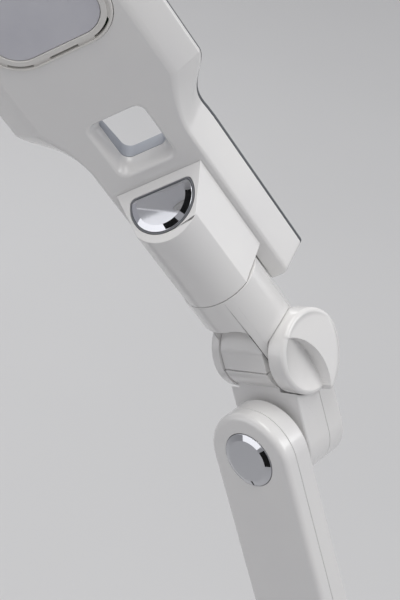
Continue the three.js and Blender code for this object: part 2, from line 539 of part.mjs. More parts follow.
function buildNeckTop(parent) {
  const edge = Math.PI * (52 / 180);
  const section = [[-28.7, -(FACE - GAP)], [28.7, -(FACE - GAP)]];
  for (let i = 0; i <= 20; i += 1) {
    const angle = mix(edge, -edge, i / 20);
    section.push([NECK_RADIUS * Math.sin(angle), NECK_RADIUS * Math.cos(angle)]);
  }
  const shape = new THREE.Shape(section.map(([x, y]) => new THREE.Vector2(x, -y)));
  const column = solid(new THREE.ExtrudeGeometry(shape, { depth: 90, bevelEnabled: false })
    .translate(0, 0, NECK_SEAM + GAP));
  const slope = [D_FOOT.y - D_TOP.y, D_FOOT.z - D_TOP.z];
  const above = sideSolid([[D_TOP.y - 2 * slope[0], D_TOP.z - 2 * slope[1]],
    [D_TOP.y - 2 * slope[0], 300], [D_TOP.y + 2 * slope[0], 300],
    [D_TOP.y + 2 * slope[0], D_TOP.z + 2 * slope[1]]].reverse(), -60, 60);
  const bore = bar(SWIVEL_RADIUS + GAP, 0, 100 + GAP, 'z', 24);

  // button frame: x across, y down the sloping face, z out of it
  const turn = Math.atan2(slope[1], slope[0]);
  const down = new THREE.Vector3(0, Math.cos(turn), Math.sin(turn));
  const out = new THREE.Vector3(0, down.z, -down.y);
  const basis = new THREE.Matrix4().makeBasis(new THREE.Vector3(-1, 0, 0), down, out);
  basis.setPosition(0, D_TOP.y, D_TOP.z);
  const dPoints = (grow) => {
    const radius = BUTTON_RADIUS + grow - BUTTON_CORNER;
    const straight = BUTTON_EDGE - grow + BUTTON_CORNER;
    const start = Math.asin((straight - BUTTON_CENTRE) / radius);
    const cornerX = radius * Math.cos(start);
    const arcs = [[cornerX, straight, BUTTON_CORNER, -Math.PI / 2, start, 5],
      [0, BUTTON_CENTRE, radius + BUTTON_CORNER, start, Math.PI - start, 28],
      [-cornerX, straight, BUTTON_CORNER, Math.PI - start, Math.PI * 1.5, 5]];
    return arcs.flatMap(([x, y, size, from, to, count], k) => Array.from(
      { length: count + (k === 1 ? 1 : 0) },
      (_, i) => {
        const angle = mix(from, to, (i + (k === 2 ? 1 : 0)) / count);
        return new THREE.Vector2(x + size * Math.cos(angle), y + size * Math.sin(angle));
      }));
  };
  const dSolid = (grow, z0, z1, slopeIn = 0) => {
    const rim = dPoints(grow), top = dPoints(grow - slopeIn);
    const geometry = new THREE.ExtrudeGeometry(new THREE.Shape(rim),
      { depth: z1 - z0, bevelEnabled: false }).translate(0, 0, z0);
    const position = geometry.attributes.position;
    for (let i = 0; slopeIn > 0 && i < position.count; i += 1) {
      const here = new THREE.Vector2(position.getX(i), position.getY(i));
      if (position.getZ(i) < z1 - 1e-4) continue;
      const nearest = rim.reduce((best, point, k) => (
        point.distanceTo(here) < rim[best].distanceTo(here) ? k : best), 0);
      position.setXY(i, top[nearest].x, top[nearest].y);
    }
    return solid(geometry.applyMatrix4(basis));
  };
  const inPocket = (geometry) => solid(geometry.applyMatrix4(basis));
  const pocket = dSolid(BUTTON_BEZEL + GAP, -15, 5);
  place(parent, 'neck_top', cut(column, above, bore, pocket), 'white');
  place(parent, 'button_bezel', cut(dSolid(BUTTON_BEZEL, -14.6, 0.2), dSolid(0, -20, 5)), 'dark');
  // the cap is hollow under its middle, where the return spring stands
  const springPlace = (geometry) => geometry.rotateX(Math.PI / 2).translate(0, 22, 0);
  const ring = (inner, outer, low, high) => outward(springPlace(new THREE.LatheGeometry(
    [[inner, low], [outer, low], [outer, high], [inner, high], [inner, low]]
      .map(([radius, height]) => new THREE.Vector2(radius, height)), 20)));
  const springCup = inPocket(ring(0, 5, -8, -1.8));
  const cap = cut(join(dSolid(-GAP, -5, 0.3), dSolid(-GAP, 0.3, 1.8, 4.2)), springCup);
  place(parent, 'button_cap', cap, 'chrome');
  place(parent, 'button_switch', inPocket(new THREE.BoxGeometry(16, 12, 5).translate(0, 22, -12)), 'dark');
  place(parent, 'button_spring', inPocket(ring(3, 4.4, -9.2, -3.6)), 'steel');
}

// ---- assembly -----------------------------------------------------------
const middle = (BLOCK_FRONT + BLOCK_BACK) / 2;
buildStand(lamp);
const turret = frame(lamp, [0, -middle, TURRET_PIVOT_HEIGHT]);
buildTurret(turret);
const arm = frame(turret, [0, 0, 0], 0, -ARM_LEAN, 0);
buildArm(arm);
pivotHardware(arm, turret, 'lower');
const block = frame(arm, [0, 0, ARM_LENGTH]);
buildBlock(block);
pivotHardware(block, block, 'upper');
const neck = frame(block, [0, HINGE_BACK, HINGE_UP], HEAD_TILT, 0, 0);
buildNeck(neck);
buildKnob(neck);
const head = frame(neck, [0, 0, 0], 0, 0, HEAD_ROLL);
buildHeadShells(head);
buildLamp(head);
buildNeckTop(head);

export default lamp;
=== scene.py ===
# %% [markdown]
# # An articulated floor lamp
# The lamp stands on a weighted round foot. A flat arm swings between two pivot
# blocks, a barrel hinge with a clamp knob tilts the neck, and a paddle-shaped
# LED head rolls about that neck. The frame (sizes, axes, joints) is loaded
# first. Everything below only gives it finer surfaces and real finishes.

# %% Load the frame
import json
import math
import bmesh
import bpy
from mathutils import Matrix, Vector


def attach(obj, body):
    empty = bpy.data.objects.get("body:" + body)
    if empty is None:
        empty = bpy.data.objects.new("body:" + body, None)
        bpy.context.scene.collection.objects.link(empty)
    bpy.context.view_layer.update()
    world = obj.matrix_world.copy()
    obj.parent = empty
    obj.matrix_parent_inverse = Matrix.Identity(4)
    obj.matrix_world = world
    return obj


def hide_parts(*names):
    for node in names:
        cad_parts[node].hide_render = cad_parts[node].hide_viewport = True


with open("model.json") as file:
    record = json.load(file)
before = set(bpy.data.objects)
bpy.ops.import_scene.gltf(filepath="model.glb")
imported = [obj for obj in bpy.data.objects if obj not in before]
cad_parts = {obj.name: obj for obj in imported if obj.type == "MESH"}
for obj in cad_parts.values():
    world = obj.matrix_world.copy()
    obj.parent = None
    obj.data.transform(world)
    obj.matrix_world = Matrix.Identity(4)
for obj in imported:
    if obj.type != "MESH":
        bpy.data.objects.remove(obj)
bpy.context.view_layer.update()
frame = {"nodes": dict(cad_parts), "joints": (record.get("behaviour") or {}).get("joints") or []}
joints = {joint["name"]: joint for joint in frame["joints"]}
MM = 0.001

# %% [markdown]
# ## Places
# Each part of the lamp is drawn upright in its own millimetre frame, as it
# would lie on a drawing board. Where that frame sits in the lamp comes from the
# joints: the arm runs from its lower pivot to its upper one, the neck follows
# the axis about which the head rolls, and the head faces where its button does.


# %% Frames from the joints
def axes(origin, x_axis, y_axis, z_axis):
    """A millimetre frame at an origin given in metres."""
    turn = Matrix((x_axis.normalized(), y_axis.normalized(), z_axis.normalized())).transposed()
    return Matrix.Translation(origin) @ turn.to_4x4() @ Matrix.Scale(MM, 4)


def joint_place(name):
    return Vector(joints[name]["pos_m"])


def joint_axis(name):
    return Vector(joints[name]["axis"]).normalized()


low_pivot = joint_place("arm_pivot")
high_pivot = joint_place("block_pivot")
hinge_place = joint_place("head_tilt")
back_axis = joint_axis("arm_pivot")
arm_axis = (high_pivot - low_pivot).normalized()
hinge_axis = joint_axis("head_tilt")
neck_axis = joint_axis("head_roll")
press = joint_axis("button_press")
head_back = (press - press.dot(neck_axis) * neck_axis).normalized()

WORLD = Matrix.Scale(MM, 4)
TURRET = axes(low_pivot, Vector((1, 0, 0)), back_axis, Vector((0, 0, 1)))
ARM = axes(low_pivot, back_axis.cross(arm_axis), back_axis, arm_axis)
BLOCK = axes(high_pivot, back_axis.cross(arm_axis), back_axis, arm_axis)
NECK = axes(hinge_place, hinge_axis, neck_axis.cross(hinge_axis), neck_axis)
HEAD = axes(hinge_place, head_back.cross(neck_axis), head_back, neck_axis)
arm_length = (high_pivot - low_pivot).length / MM
hinge_offset = BLOCK.inverted() @ hinge_place
print(f"arm {arm_length:.0f} mm between pivots, hinge {hinge_offset.z:.1f} mm above the upper one")

# %% [markdown]
# ## Sizes
# The drawing is measured, not guessed: a node's lowest and highest corners in
# the frame it was drawn in give the widths, seams and radii of its piece.


# %% Measure the nodes
def measure(node, place):
    """Lowest and highest corner of a node, in millimetres of its own frame."""
    back = place.inverted()
    points = [back @ vertex.co for vertex in frame["nodes"][node].data.vertices]
    low = Vector([min(point[axis] for point in points) for axis in range(3)])
    high = Vector([max(point[axis] for point in points) for axis in range(3)])
    return low, high


GAP = 0.3
arm_front_high = measure("arm_front_shell", ARM)[1]
arm_rear_low, arm_rear_high = measure("arm_rear_shell", ARM)
block_low, block_high = measure("turret_front_shell", TURRET)
block_back = measure("turret_rear_shell", TURRET)[1].y
core_low, core_high = measure("block_core", BLOCK)
fork_low = measure("neck_fork", NECK)[0]
knob_low = measure("clamp_knob", NECK)[0]
top_low = measure("neck_top", HEAD)[0]
shell_low = measure("head_front_shell", HEAD)[0]
cover_low, cover_high = measure("base_cover", WORLD)
tube_low, tube_high = measure("column_tube", WORLD)

ARM_RADIUS, ARM_THICK, ARM_WALL = arm_front_high.x, arm_rear_high.y, 2.4
SEAM_FRONT, SEAM_REAR = arm_front_high.y, arm_rear_low.y
DISC_RADIUS, DISC_DEPTH = 18.4, 3.0
PIN_RADIUS, BOLT_RADIUS = 5.0, 4.0
BLOCK_FRONT, BLOCK_RADIUS, BLOCK_WALL = block_low.y, 27.2, 2.6
BLOCK_SEAM = block_high.y + GAP / 2
HINGE_BACK, HINGE_UP = hinge_offset.y, hinge_offset.z
CORE_RADIUS, CORE_LEFT, CORE_RIGHT, CORE_SPLIT = 25.5, core_low.x, core_high.x, -5.4
KNOB_START, KNOB_RADIUS = knob_low.x, 27.0
NECK_RADIUS, NECK_SEAM = 25.0, top_low.z - GAP
SWIVEL_RADIUS = 9.0
FACE = shell_low.y
print(f"arm {2 * ARM_RADIUS:.1f} x {ARM_THICK:.1f} mm, knob {2 * KNOB_RADIUS:.0f} mm,",
      f"neck {2 * NECK_RADIUS:.0f} mm")

# %% [markdown]
# ## The camera and the studio
# A long lens looks down on the hinge and the head from the lamp's front right.
# A large soft light stands behind and to the right, and a pale room fills in the
# shade, so flat faces towards the camera are a quiet grey and faces towards the
# light are nearly white. Chrome needs something to show, so a few black and
# white cards stand where only reflections meet them.


# %% Camera
def linked(name, data):
    """A new object for some data, linked to the scene."""
    thing = bpy.data.objects.new(name, data)
    bpy.context.scene.collection.objects.link(thing)
    return thing


CAMERA_AZIMUTH, CAMERA_ELEVATION = 40.14, 32.8
CAMERA_AWAY, CAMERA_SIDE, CAMERA_RISE = 1.12656, -0.04455, 0.0292
CAMERA_LENS = 108.378

azimuth, elevation = math.radians(CAMERA_AZIMUTH), math.radians(CAMERA_ELEVATION)
camera_back = Vector((math.sin(azimuth) * math.cos(elevation),
                      -math.cos(azimuth) * math.cos(elevation), math.sin(elevation)))
camera_right = Vector((math.cos(azimuth), math.sin(azimuth), 0))
camera_up = camera_back.cross(camera_right)
camera_data = bpy.data.cameras.new("camera")
camera_data.lens = CAMERA_LENS
camera_data.clip_start, camera_data.clip_end = 0.05, 60
camera = linked("camera", camera_data)
camera_at = (hinge_place + CAMERA_AWAY * camera_back + CAMERA_SIDE * camera_right
             + CAMERA_RISE * camera_up)
camera.matrix_world = (Matrix.Translation(camera_at)
                       @ Matrix((camera_right, camera_up, camera_back)).transposed().to_4x4())
bpy.context.scene.camera = camera
print("camera at", [round(value, 3) for value in camera_at])

# %% [markdown]
# ## Materials
# One function turns a hex colour to linear light, and one adds a node with its
# settings and links. Every finish reads the piece's own object coordinates, so
# a pattern has its real size and moves with the piece.


# %% Colour and node helpers
def linear(hex_colour):
    """An sRGB hex colour as linear RGBA."""
    parts = [int(hex_colour[i:i + 2], 16) / 255 for i in (1, 3, 5)]
    return [p / 12.92 if p <= 0.04045 else ((p + 0.055) / 1.055) ** 2.4 for p in parts] + [1.0]


def add(tree, kind, inputs=None, **settings):
    """Adds a node: settings are its own properties, inputs are values or links."""
    node = tree.nodes.new(kind)
    for key, value in settings.items():
        setattr(node, key, value)
    for socket, value in (inputs or {}).items():
        if isinstance(value, bpy.types.NodeSocket):
            tree.links.new(value, node.inputs[socket])
        else:
            node.inputs[socket].default_value = value
    return node


def finish(name, light, dark, roughness, grain_mm, relief_mm, patch_mm=60, stretch=(1, 1, 1),
           rough_spread=0.04, **shader):
    """Colour drifts between two tones over patches; roughness and relief follow a grain."""
    material = bpy.data.materials.new(name)
    material.use_nodes = True
    tree = material.node_tree
    tree.nodes.clear()
    place = add(tree, "ShaderNodeTexCoord")
    turned = add(tree, "ShaderNodeMapping", {"Vector": place.outputs["Object"], "Scale": stretch})
    patches = add(tree, "ShaderNodeTexNoise", {"Vector": turned.outputs["Vector"],
                                               "Scale": 1 / (patch_mm * MM), "Detail": 3.0})
    grain = add(tree, "ShaderNodeTexNoise", {"Vector": turned.outputs["Vector"],
                                             "Scale": 1 / (grain_mm * MM), "Detail": 2.0})
    tone = add(tree, "ShaderNodeValToRGB", {"Fac": patches.outputs["Fac"]})
    tone.color_ramp.elements[0].position, tone.color_ramp.elements[1].position = 0.35, 0.65
    tone.color_ramp.elements[0].color = linear(dark)
    tone.color_ramp.elements[1].color = linear(light)
    rough = add(tree, "ShaderNodeMapRange", {"Value": grain.outputs["Fac"],
                                             "To Min": roughness - rough_spread,
                                             "To Max": roughness + rough_spread})
    relief = add(tree, "ShaderNodeBump", {"Height": grain.outputs["Fac"], "Strength": 1.0,
                                          "Distance": relief_mm * MM})
    values = {"Base Color": tone.outputs["Color"], "Roughness": rough.outputs["Result"],
              "Normal": relief.outputs["Normal"]}
    values.update({key.replace("_", " "): value for key, value in shader.items()})
    surface = add(tree, "ShaderNodeBsdfPrincipled", values)
    add(tree, "ShaderNodeOutputMaterial", {"Surface": surface.outputs["BSDF"]})
    return material


# %% [markdown]
# The casings are ABS, injection moulded in a polished tool: the plastic shows a
# very fine orange peel, and its gloss is a little soft. The foot and column are
# steel under a gloss enamel. The chrome is a plated layer over moulded ABS, so
# it is darker than silver and almost free of grain.

# %% Finishes
white = finish("gloss_abs_moulded", "#ECEBE9", "#E9E8E7", 0.24, 1.6, 0.004, IOR=1.5,
               Coat_Weight=0.5, Coat_Roughness=0.1)
enamel = finish("white_enamelled_steel", "#EBEAE8", "#E7E6E4", 0.22, 2.4, 0.01, IOR=1.5,
                Coat_Weight=0.5, Coat_Roughness=0.08)
silver = finish("silver_lacquered_abs", "#B4B8BF", "#AAAEB6", 0.46, 0.5, 0.001,
                rough_spread=0.05, Metallic=0.35)
graphite = finish("graphite_grey_abs", "#63666A", "#5B5E62", 0.34, 0.5, 0.002,
                  rough_spread=0.05, IOR=1.5)
bezel_grey = finish("dark_grey_abs_moulded", "#7C7E83", "#74767B", 0.4, 0.6, 0.004, IOR=1.5)
frosted = finish("frosted_acrylic_diffuser", "#D2D2D8", "#CCCCD3", 0.46, 0.35, 0.006,
                 patch_mm=25, IOR=1.49)
rim_white = finish("satin_abs_moulded", "#E6E4E0", "#E1DFDA", 0.36, 0.8, 0.004, IOR=1.5)
chrome = finish("chrome_plated_abs", "#CFD0D4", "#CACBD0", 0.035, 6, 0.0008,
                rough_spread=0.012, Metallic=1.0)
zinc = finish("zinc_plated_steel", "#A9ABAD", "#9A9C9F", 0.36, 0.4, 0.004, patch_mm=4, Metallic=1.0)
iron = finish("sand_cast_iron", "#48494B", "#37383A", 0.7, 1.2, 0.12, patch_mm=12, Metallic=0.7)
rubber = finish("moulded_rubber", "#29292A", "#202021", 0.82, 0.5, 0.03, patch_mm=8)
nylon = finish("natural_nylon", "#DCD9CF", "#D3D0C6", 0.55, 0.6, 0.006, patch_mm=10, IOR=1.53)
extruded = finish("extruded_aluminium", "#C4C6C9", "#B5B7BA", 0.38, 0.5, 0.006,
                  stretch=(1, 1, 0.04), Metallic=1.0)
laminate = finish("green_circuit_laminate", "#23623F", "#1C5435", 0.45, 0.3, 0.002, patch_mm=6)
brass = finish("turned_brass", "#B5924E", "#A5833F", 0.34, 0.3, 0.004, patch_mm=4, Metallic=1.0)
box_white = finish("polycarbonate_case", "#EFEEEA", "#E8E7E3", 0.5, 0.6, 0.01,
                   patch_mm=10, IOR=1.58)
led_resin = finish("yellow_phosphor_resin", "#E8CF6A", "#DFC35A", 0.35, 0.3, 0.002, patch_mm=2)
print(len(bpy.data.materials), "materials in the file")

# %% [markdown]
# ## Drawing tools
# A moulded piece is rarely a box or a cylinder: it is an outline with rounded
# corners, turned, drawn through or stepped inwards, then cut by other shapes.
# So there are only a few tools. They work in millimetres, and closed solids
# come out of all of them, so that they can be cut and joined.


# %% Outlines
def rounded(points, radius, steps=8, closed=True):
    """The same outline with an arc at each corner; a corner (u, v, r) has its own radius."""
    result = []
    count = len(points)
    for index, corner in enumerate(points):
        size = corner[2] if len(corner) > 2 else radius
        here = Vector(corner[:2])
        if size <= 0 or (not closed and index in (0, count - 1)):
            result.append(tuple(here))
            continue
        before = Vector(points[index - 1][:2]) - here
        after = Vector(points[(index + 1) % count][:2]) - here
        half = before.angle(after) / 2
        reach = min(size / math.tan(half), 0.499 * before.length, 0.499 * after.length)
        size = reach * math.tan(half)
        start, end = before.normalized() * reach, after.normalized() * reach
        centre = (before.normalized() + after.normalized()).normalized() * size / math.sin(half)
        first, last = (start - centre).normalized(), (end - centre).normalized()
        for step in range(steps + 1):
            result.append(tuple(here + centre + size * first.slerp(last, step / steps)))
    return result


def rounded_box(x0, x1, z0, z1, radius, steps=12):
    return rounded([(x1, z0), (x1, z1), (x0, z1), (x0, z0)], radius, steps)


def stadium(radius, z0, z1, steps=64):
    """Straight sides and round ends between two end centres."""
    arcs = [(z0, math.pi), (z1, 0.0)]
    return [(radius * math.cos(start + math.pi * step / steps),
             centre + radius * math.sin(start + math.pi * step / steps))
            for centre, start in arcs for step in range(steps + 1)]


def inset(outline, distance):
    """Every point moved inwards along the outline's own normal."""
    if abs(distance) < 1e-9:
        return list(outline)
    count = len(outline)
    area = sum(outline[i - 1][0] * outline[i][1] - outline[i][0] * outline[i - 1][1]
               for i in range(count))
    side = 1 if area > 0 else -1
    moved = []
    for i in range(count):
        a, b, c = (Vector(outline[k % count]) for k in (i - 1, i, i + 1))
        first, second = (b - a), (c - b)
        first = first.normalized() if first.length > 1e-9 else second.normalized()
        second = second.normalized() if second.length > 1e-9 else first
        tangent = (first + second).normalized()
        normal = Vector((-tangent.y, tangent.x)) * side
        stretch = max(0.5, normal.dot(Vector((-first.y, first.x)) * side))
        moved.append(tuple(b + normal * distance / stretch))
    return moved


# %% [markdown]
# A solid is a stack of rings with a cap at each end, or a stack whose last ring
# meets the first. The faces are turned outwards once, when the mesh is made.


# %% Solids from rings
def solid(points, faces):
    """A closed mesh with its doubles merged and its faces turned outwards."""
    mesh = bpy.data.meshes.new("solid")
    mesh.from_pydata([tuple(point) for point in points], [], faces)
    work = bmesh.new()
    work.from_mesh(mesh)
    bmesh.ops.remove_doubles(work, verts=work.verts, dist=1e-5)
    bmesh.ops.dissolve_degenerate(work, edges=work.edges, dist=1e-5)
    bmesh.ops.recalc_face_normals(work, faces=work.faces)
    if work.calc_volume(signed=True) < 0:
        bmesh.ops.reverse_faces(work, faces=work.faces)
    work.to_mesh(mesh)
    work.free()
    return mesh


def stacked(rings, closed=False, strips=False):
    """Rings joined one to the next. Strips caps a mirrored ring across its width."""
    size = len(rings[0])
    points = [point for ring in rings for point in ring]
    faces = []
    for level in range(len(rings) if closed else len(rings) - 1):
        this, following = level * size, ((level + 1) % len(rings)) * size
        faces += [(this + i, this + (i + 1) % size, following + (i + 1) % size, following + i)
                  for i in range(size)]
    if not closed:
        last = (len(rings) - 1) * size
        for start in (0, last):
            if strips:
                faces += [(start + i, start + i + 1, start + size - 2 - i, start + size - 1 - i)
                          for i in range(size // 2 - 1)]
            else:
                faces.append(tuple(range(start, start + size)))
    return solid(points, faces)


LAY = {"x": lambda u, v, t: (t, u, v), "y": lambda u, v, t: (u, t, v),
       "z": lambda u, v, t: (u, v, t)}


def quarter(radius, steps=8):
    """A round edge as (inset, depth) pairs; without a radius, one pair."""
    turns = [math.pi / 2 * step / steps for step in range(steps + 1 if radius else 1)]
    return [(radius * (1 - math.sin(turn)), radius * (1 - math.cos(turn))) for turn in turns]


def drawn(outline, axis, start, end, edge_start=0, edge_end=0, steps=8):
    """An outline drawn along an axis, with a round edge at either end."""
    levels = [(step_in, start + deep) for step_in, deep in quarter(edge_start, steps)]
    levels += [(deep, end - step_in) for step_in, deep in quarter(edge_end, steps)]
    return stacked([[LAY[axis](u, v, t) for u, v in inset(outline, step_in)]
                    for step_in, t in levels])


def stepped(outline, profile, closed=False):
    """Rings of an outline, each inset and placed along Y as the profile says."""
    return stacked([[(u, y, v) for u, v in inset(outline, step_in)]
                    for step_in, y in profile], closed)


def lathed(profile, axis="z", sides=144):
    """A profile of (radius, height) pairs turned about an axis, from pole to pole."""
    rings = []
    for radius, height in profile:
        rings.append([LAY[axis](max(radius, 1e-7) * math.cos(2 * math.pi * i / sides),
                                max(radius, 1e-7) * math.sin(2 * math.pi * i / sides), height)
                      for i in range(sides)])
    return stacked(rings)


def turned(corners, axis="z", sides=144, steps=8):
    """A solid turned from corners, each with its own radius, that begin and end on the axis."""
    return lathed(rounded(corners, 0, steps, closed=False), axis, sides)


def bar(radius, start, end, axis="z", sides=144, edge=0):
    return turned([(0, start), (radius, start, edge), (radius, end, edge), (0, end)], axis, sides)


def post(radius, start, end, z=0, x=0, sides=144):
    """A bar along Y that stands off the origin."""
    return moved(bar(radius, start, end, "y", sides), x, 0, z)


def block(x0, x1, y0, y1, z0, z1):
    return drawn([(x0, z0), (x1, z0), (x1, z1), (x0, z1)], "y", y0, y1)


def moved(mesh, x=0, y=0, z=0):
    copy = mesh.copy()
    copy.transform(Matrix.Translation((x, y, z)))
    return copy


# %% [markdown]
# Cutting and joining use the Boolean modifier. The result is read back as a
# plain mesh, so no modifier stays behind.


# %% Cut, join, keep
def settled(holder, *helpers):
    """The mesh that an object's modifiers make; the object and its helpers are removed."""
    graph = bpy.context.evaluated_depsgraph_get()
    result = bpy.data.meshes.new_from_object(holder.evaluated_get(graph))
    for thing in (holder, *helpers):
        bpy.data.objects.remove(thing)
    return result


def combine(operation, base, tools):
    holder = linked("holder", base)
    helpers = [linked("helper", tool) for tool in tools]
    for helper in helpers:
        modifier = holder.modifiers.new(operation, "BOOLEAN")
        modifier.operation, modifier.solver, modifier.object = operation, "MANIFOLD", helper
    return settled(holder, *helpers)


def cut(base, *tools):
    return combine("DIFFERENCE", base, tools)


def join(base, *tools):
    return combine("UNION", base, tools)


def keep(base, *tools):
    return combine("INTERSECT", base, tools)


# %% [markdown]
# A finished piece has no knife edges. Sharp edges get a small round, gentle
# creases stay as lines, and flat faces keep true normals beside the rounds. The
# piece is then placed, given its finish and hung on the body that carries it.

# %% Finish a piece
ROUND_ABOVE = math.radians(34)


def smoothed(mesh, edge, crease):
    work = bmesh.new()
    work.from_mesh(mesh)
    for line in work.edges:
        angle = line.calc_face_angle(0.0)
        line.smooth = not (angle > math.radians(crease) and (edge == 0 or angle < ROUND_ABOVE))
    for face in work.faces:
        face.smooth = True
    work.to_mesh(mesh)
    work.free()
    holder = linked("holder", mesh)
    if edge:
        bevel = holder.modifiers.new("round", "BEVEL")
        bevel.width, bevel.segments = edge, 3
        bevel.limit_method, bevel.angle_limit = "ANGLE", ROUND_ABOVE
        bevel.use_clamp_overlap = False
        bevel.miter_outer = "MITER_ARC"
    weighted = holder.modifiers.new("normals", "WEIGHTED_NORMAL")
    weighted.keep_sharp, weighted.weight = True, 50
    return settled(holder)


def piece(name, mesh, place, material, body, stands_for=(), edge=0.0, crease=16):
    mesh = smoothed(mesh, edge, crease)
    mesh.transform(place)
    mesh.materials.clear()
    mesh.materials.append(material)
    mesh.name = name
    thing = linked(name, mesh)
    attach(thing, body)
    if stands_for:
        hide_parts(*stands_for)
    print(f"{name}: {len(mesh.vertices)} points, {len(mesh.polygons)} faces, on {body}")


def casing(name, mesh, place, body, node, edge=0.35, crease=16):
    """A white moulded piece that stands for one node."""
    piece(name, mesh, place, white, body, [node], edge, crease)


# %% [markdown]
# ## Geometry Nodes for turned rings
# The foot cover, the column, its collar and its rubber ring are all one rule: a
# section carried round a circle. A node tree does that with named inputs, so a
# new ring is only a new section.


# %% Node tree helpers
def geometry_tree(name, inputs):
    """A tree with a geometry output, the named inputs and its group input node."""
    tree = bpy.data.node_groups.new(name, "GeometryNodeTree")
    tree.interface.new_socket("Geometry", in_out="OUTPUT", socket_type="NodeSocketGeometry")
    for label, kind in inputs:
        tree.interface.new_socket(label, in_out="INPUT", socket_type=kind)
    return tree, add(tree, "NodeGroupInput")


def close_tree(tree, geometry, material_socket):
    """Ends a tree in Realize Instances and Set Material."""
    real = add(tree, "GeometryNodeRealizeInstances", {"Geometry": geometry})
    painted = add(tree, "GeometryNodeSetMaterial", {"Geometry": real.outputs["Geometry"],
                                                    "Material": material_socket})
    add(tree, "NodeGroupOutput", {"Geometry": painted.outputs["Geometry"]})


def grown(tree, values):
    """Runs a tree once with its inputs set by identifier, and gives back a plain mesh."""
    holder = linked("holder", bpy.data.meshes.new("empty"))
    modifier = holder.modifiers.new(tree.name, "NODES")
    modifier.node_group = tree
    names = {item.name: item.identifier for item in tree.interface.items_tree
             if item.item_type == "SOCKET" and item.in_out == "INPUT"}
    for label, value in values.items():
        modifier[names[label]] = value
    return settled(holder)


def section_curve(points):
    """A closed curve of (radius, height) points, as the ring tree wants it."""
    curve = bpy.data.curves.new("section", "CURVE")
    curve.dimensions = "2D"
    line = curve.splines.new("POLY")
    line.points.add(len(points) - 1)
    for point, (radius, height) in zip(line.points, points):
        point.co = (radius - PATH_RADIUS, -height, 0, 1)
    line.use_cyclic_u = True
    return linked("section", curve)


# %% The ring tree
PATH_RADIUS = 10.0
ring_tree, ring_in = geometry_tree("turned_ring", [
    ("Section", "NodeSocketObject"), ("Sides", "NodeSocketInt"),
    ("Material", "NodeSocketMaterial")])
section = add(ring_tree, "GeometryNodeObjectInfo", {"Object": ring_in.outputs["Section"]})
circle = add(ring_tree, "GeometryNodeCurvePrimitiveCircle",
             {"Resolution": ring_in.outputs["Sides"], "Radius": PATH_RADIUS})
swept = add(ring_tree, "GeometryNodeCurveToMesh", {"Curve": circle.outputs["Curve"],
                                                   "Profile Curve": section.outputs["Geometry"]})
close_tree(ring_tree, swept.outputs["Mesh"], ring_in.outputs["Material"])


def resolved(mesh):
    """A grown mesh as a closed solid with its doubles merged."""
    return solid([vertex.co for vertex in mesh.vertices],
                 [tuple(face.vertices) for face in mesh.polygons])


def turned_ring(corners, radius, steps, material, sides=192):
    holder = section_curve(rounded(corners, radius, steps))
    mesh = grown(ring_tree, {"Section": holder, "Sides": sides, "Material": material})
    bpy.data.objects.remove(holder)
    return resolved(mesh)


print("ring tree with", len(ring_tree.nodes), "nodes")

# %% [markdown]
# ## The foot
# A pressed and enamelled steel cover hides a cast-iron weight and stands on a
# rubber ring. The cover is a thin shell, so its section runs out along the top,
# over the soft shoulder, down the rim, and back inside at the wall's thickness.

# %% Foot cover, rubber ring and collar
COVER_RADIUS, COVER_TOP, COVER_WALL = cover_high.x, cover_high.z, 2.4
COVER_LOW = cover_low.z
COLUMN_RADIUS, COLUMN_WALL, COLUMN_TOP = tube_high.x, 2.0, tube_high.z
EYE = COLUMN_RADIUS + GAP
outer_line = [(EYE, COVER_TOP, 0.6), (COVER_RADIUS - 16, COVER_TOP - 1.6, 40),
              (COVER_RADIUS - 3, COVER_TOP - 6.5, 9), (COVER_RADIUS, 18, 20),
              (COVER_RADIUS, COVER_LOW, 0.5)]
inner_line = [(COVER_RADIUS - COVER_WALL, COVER_LOW, 0.5),
              (COVER_RADIUS - COVER_WALL, 17, 20),
              (COVER_RADIUS - 5.2, COVER_TOP - 9, 8), (COVER_RADIUS - 18, COVER_TOP - 4.2, 30),
              (EYE, COVER_TOP - COVER_WALL, 0.4)]
cover = turned_ring(outer_line + inner_line, 1.0, 10, enamel)
cover = cut(cover, block(-9.3, 9.3, 130, 170, 9.7, 22.3))
piece("foot_cover", cover, WORLD, enamel, "stand", ["base_cover"], edge=0.4)

pad_high = measure("base_pad", WORLD)[1]
PAD_RADIUS, PAD_TOP, PAD_RING = pad_high.x, pad_high.z, 24
pad = turned_ring([(PAD_RADIUS - PAD_RING, 0), (PAD_RADIUS - 0.7, 0, 0.9),
                   (PAD_RADIUS - 0.7, PAD_TOP, 0.5), (PAD_RADIUS - PAD_RING, PAD_TOP)],
                  0.6, 5, rubber)
disc = bar(PAD_RADIUS - PAD_RING + 1, 0.8, PAD_TOP, edge=0.3)
piece("foot_rubber", join(pad, disc), WORLD, rubber, "stand", ["base_pad"])

collar_low, collar_high = measure("column_collar", WORLD)
collar = turned_ring([(EYE, collar_low.z, 0.3), (collar_high.x, collar_low.z, 0.5),
                      (collar_high.x - 0.6, collar_low.z + 3.4, 3),
                      (EYE + 6, collar_high.z - 1.4, 3), (EYE, collar_high.z, 1.2)],
                     1.0, 10, chrome)
piece("column_collar_ring", collar, WORLD, chrome, "stand", ["column_collar"],
      crease=24)

# %% [markdown]
# The rubber ring grips with a crown of small ribs round its edge. They repeat,
# so a second tree places one rib on every point of a circle and turns it
# outwards.


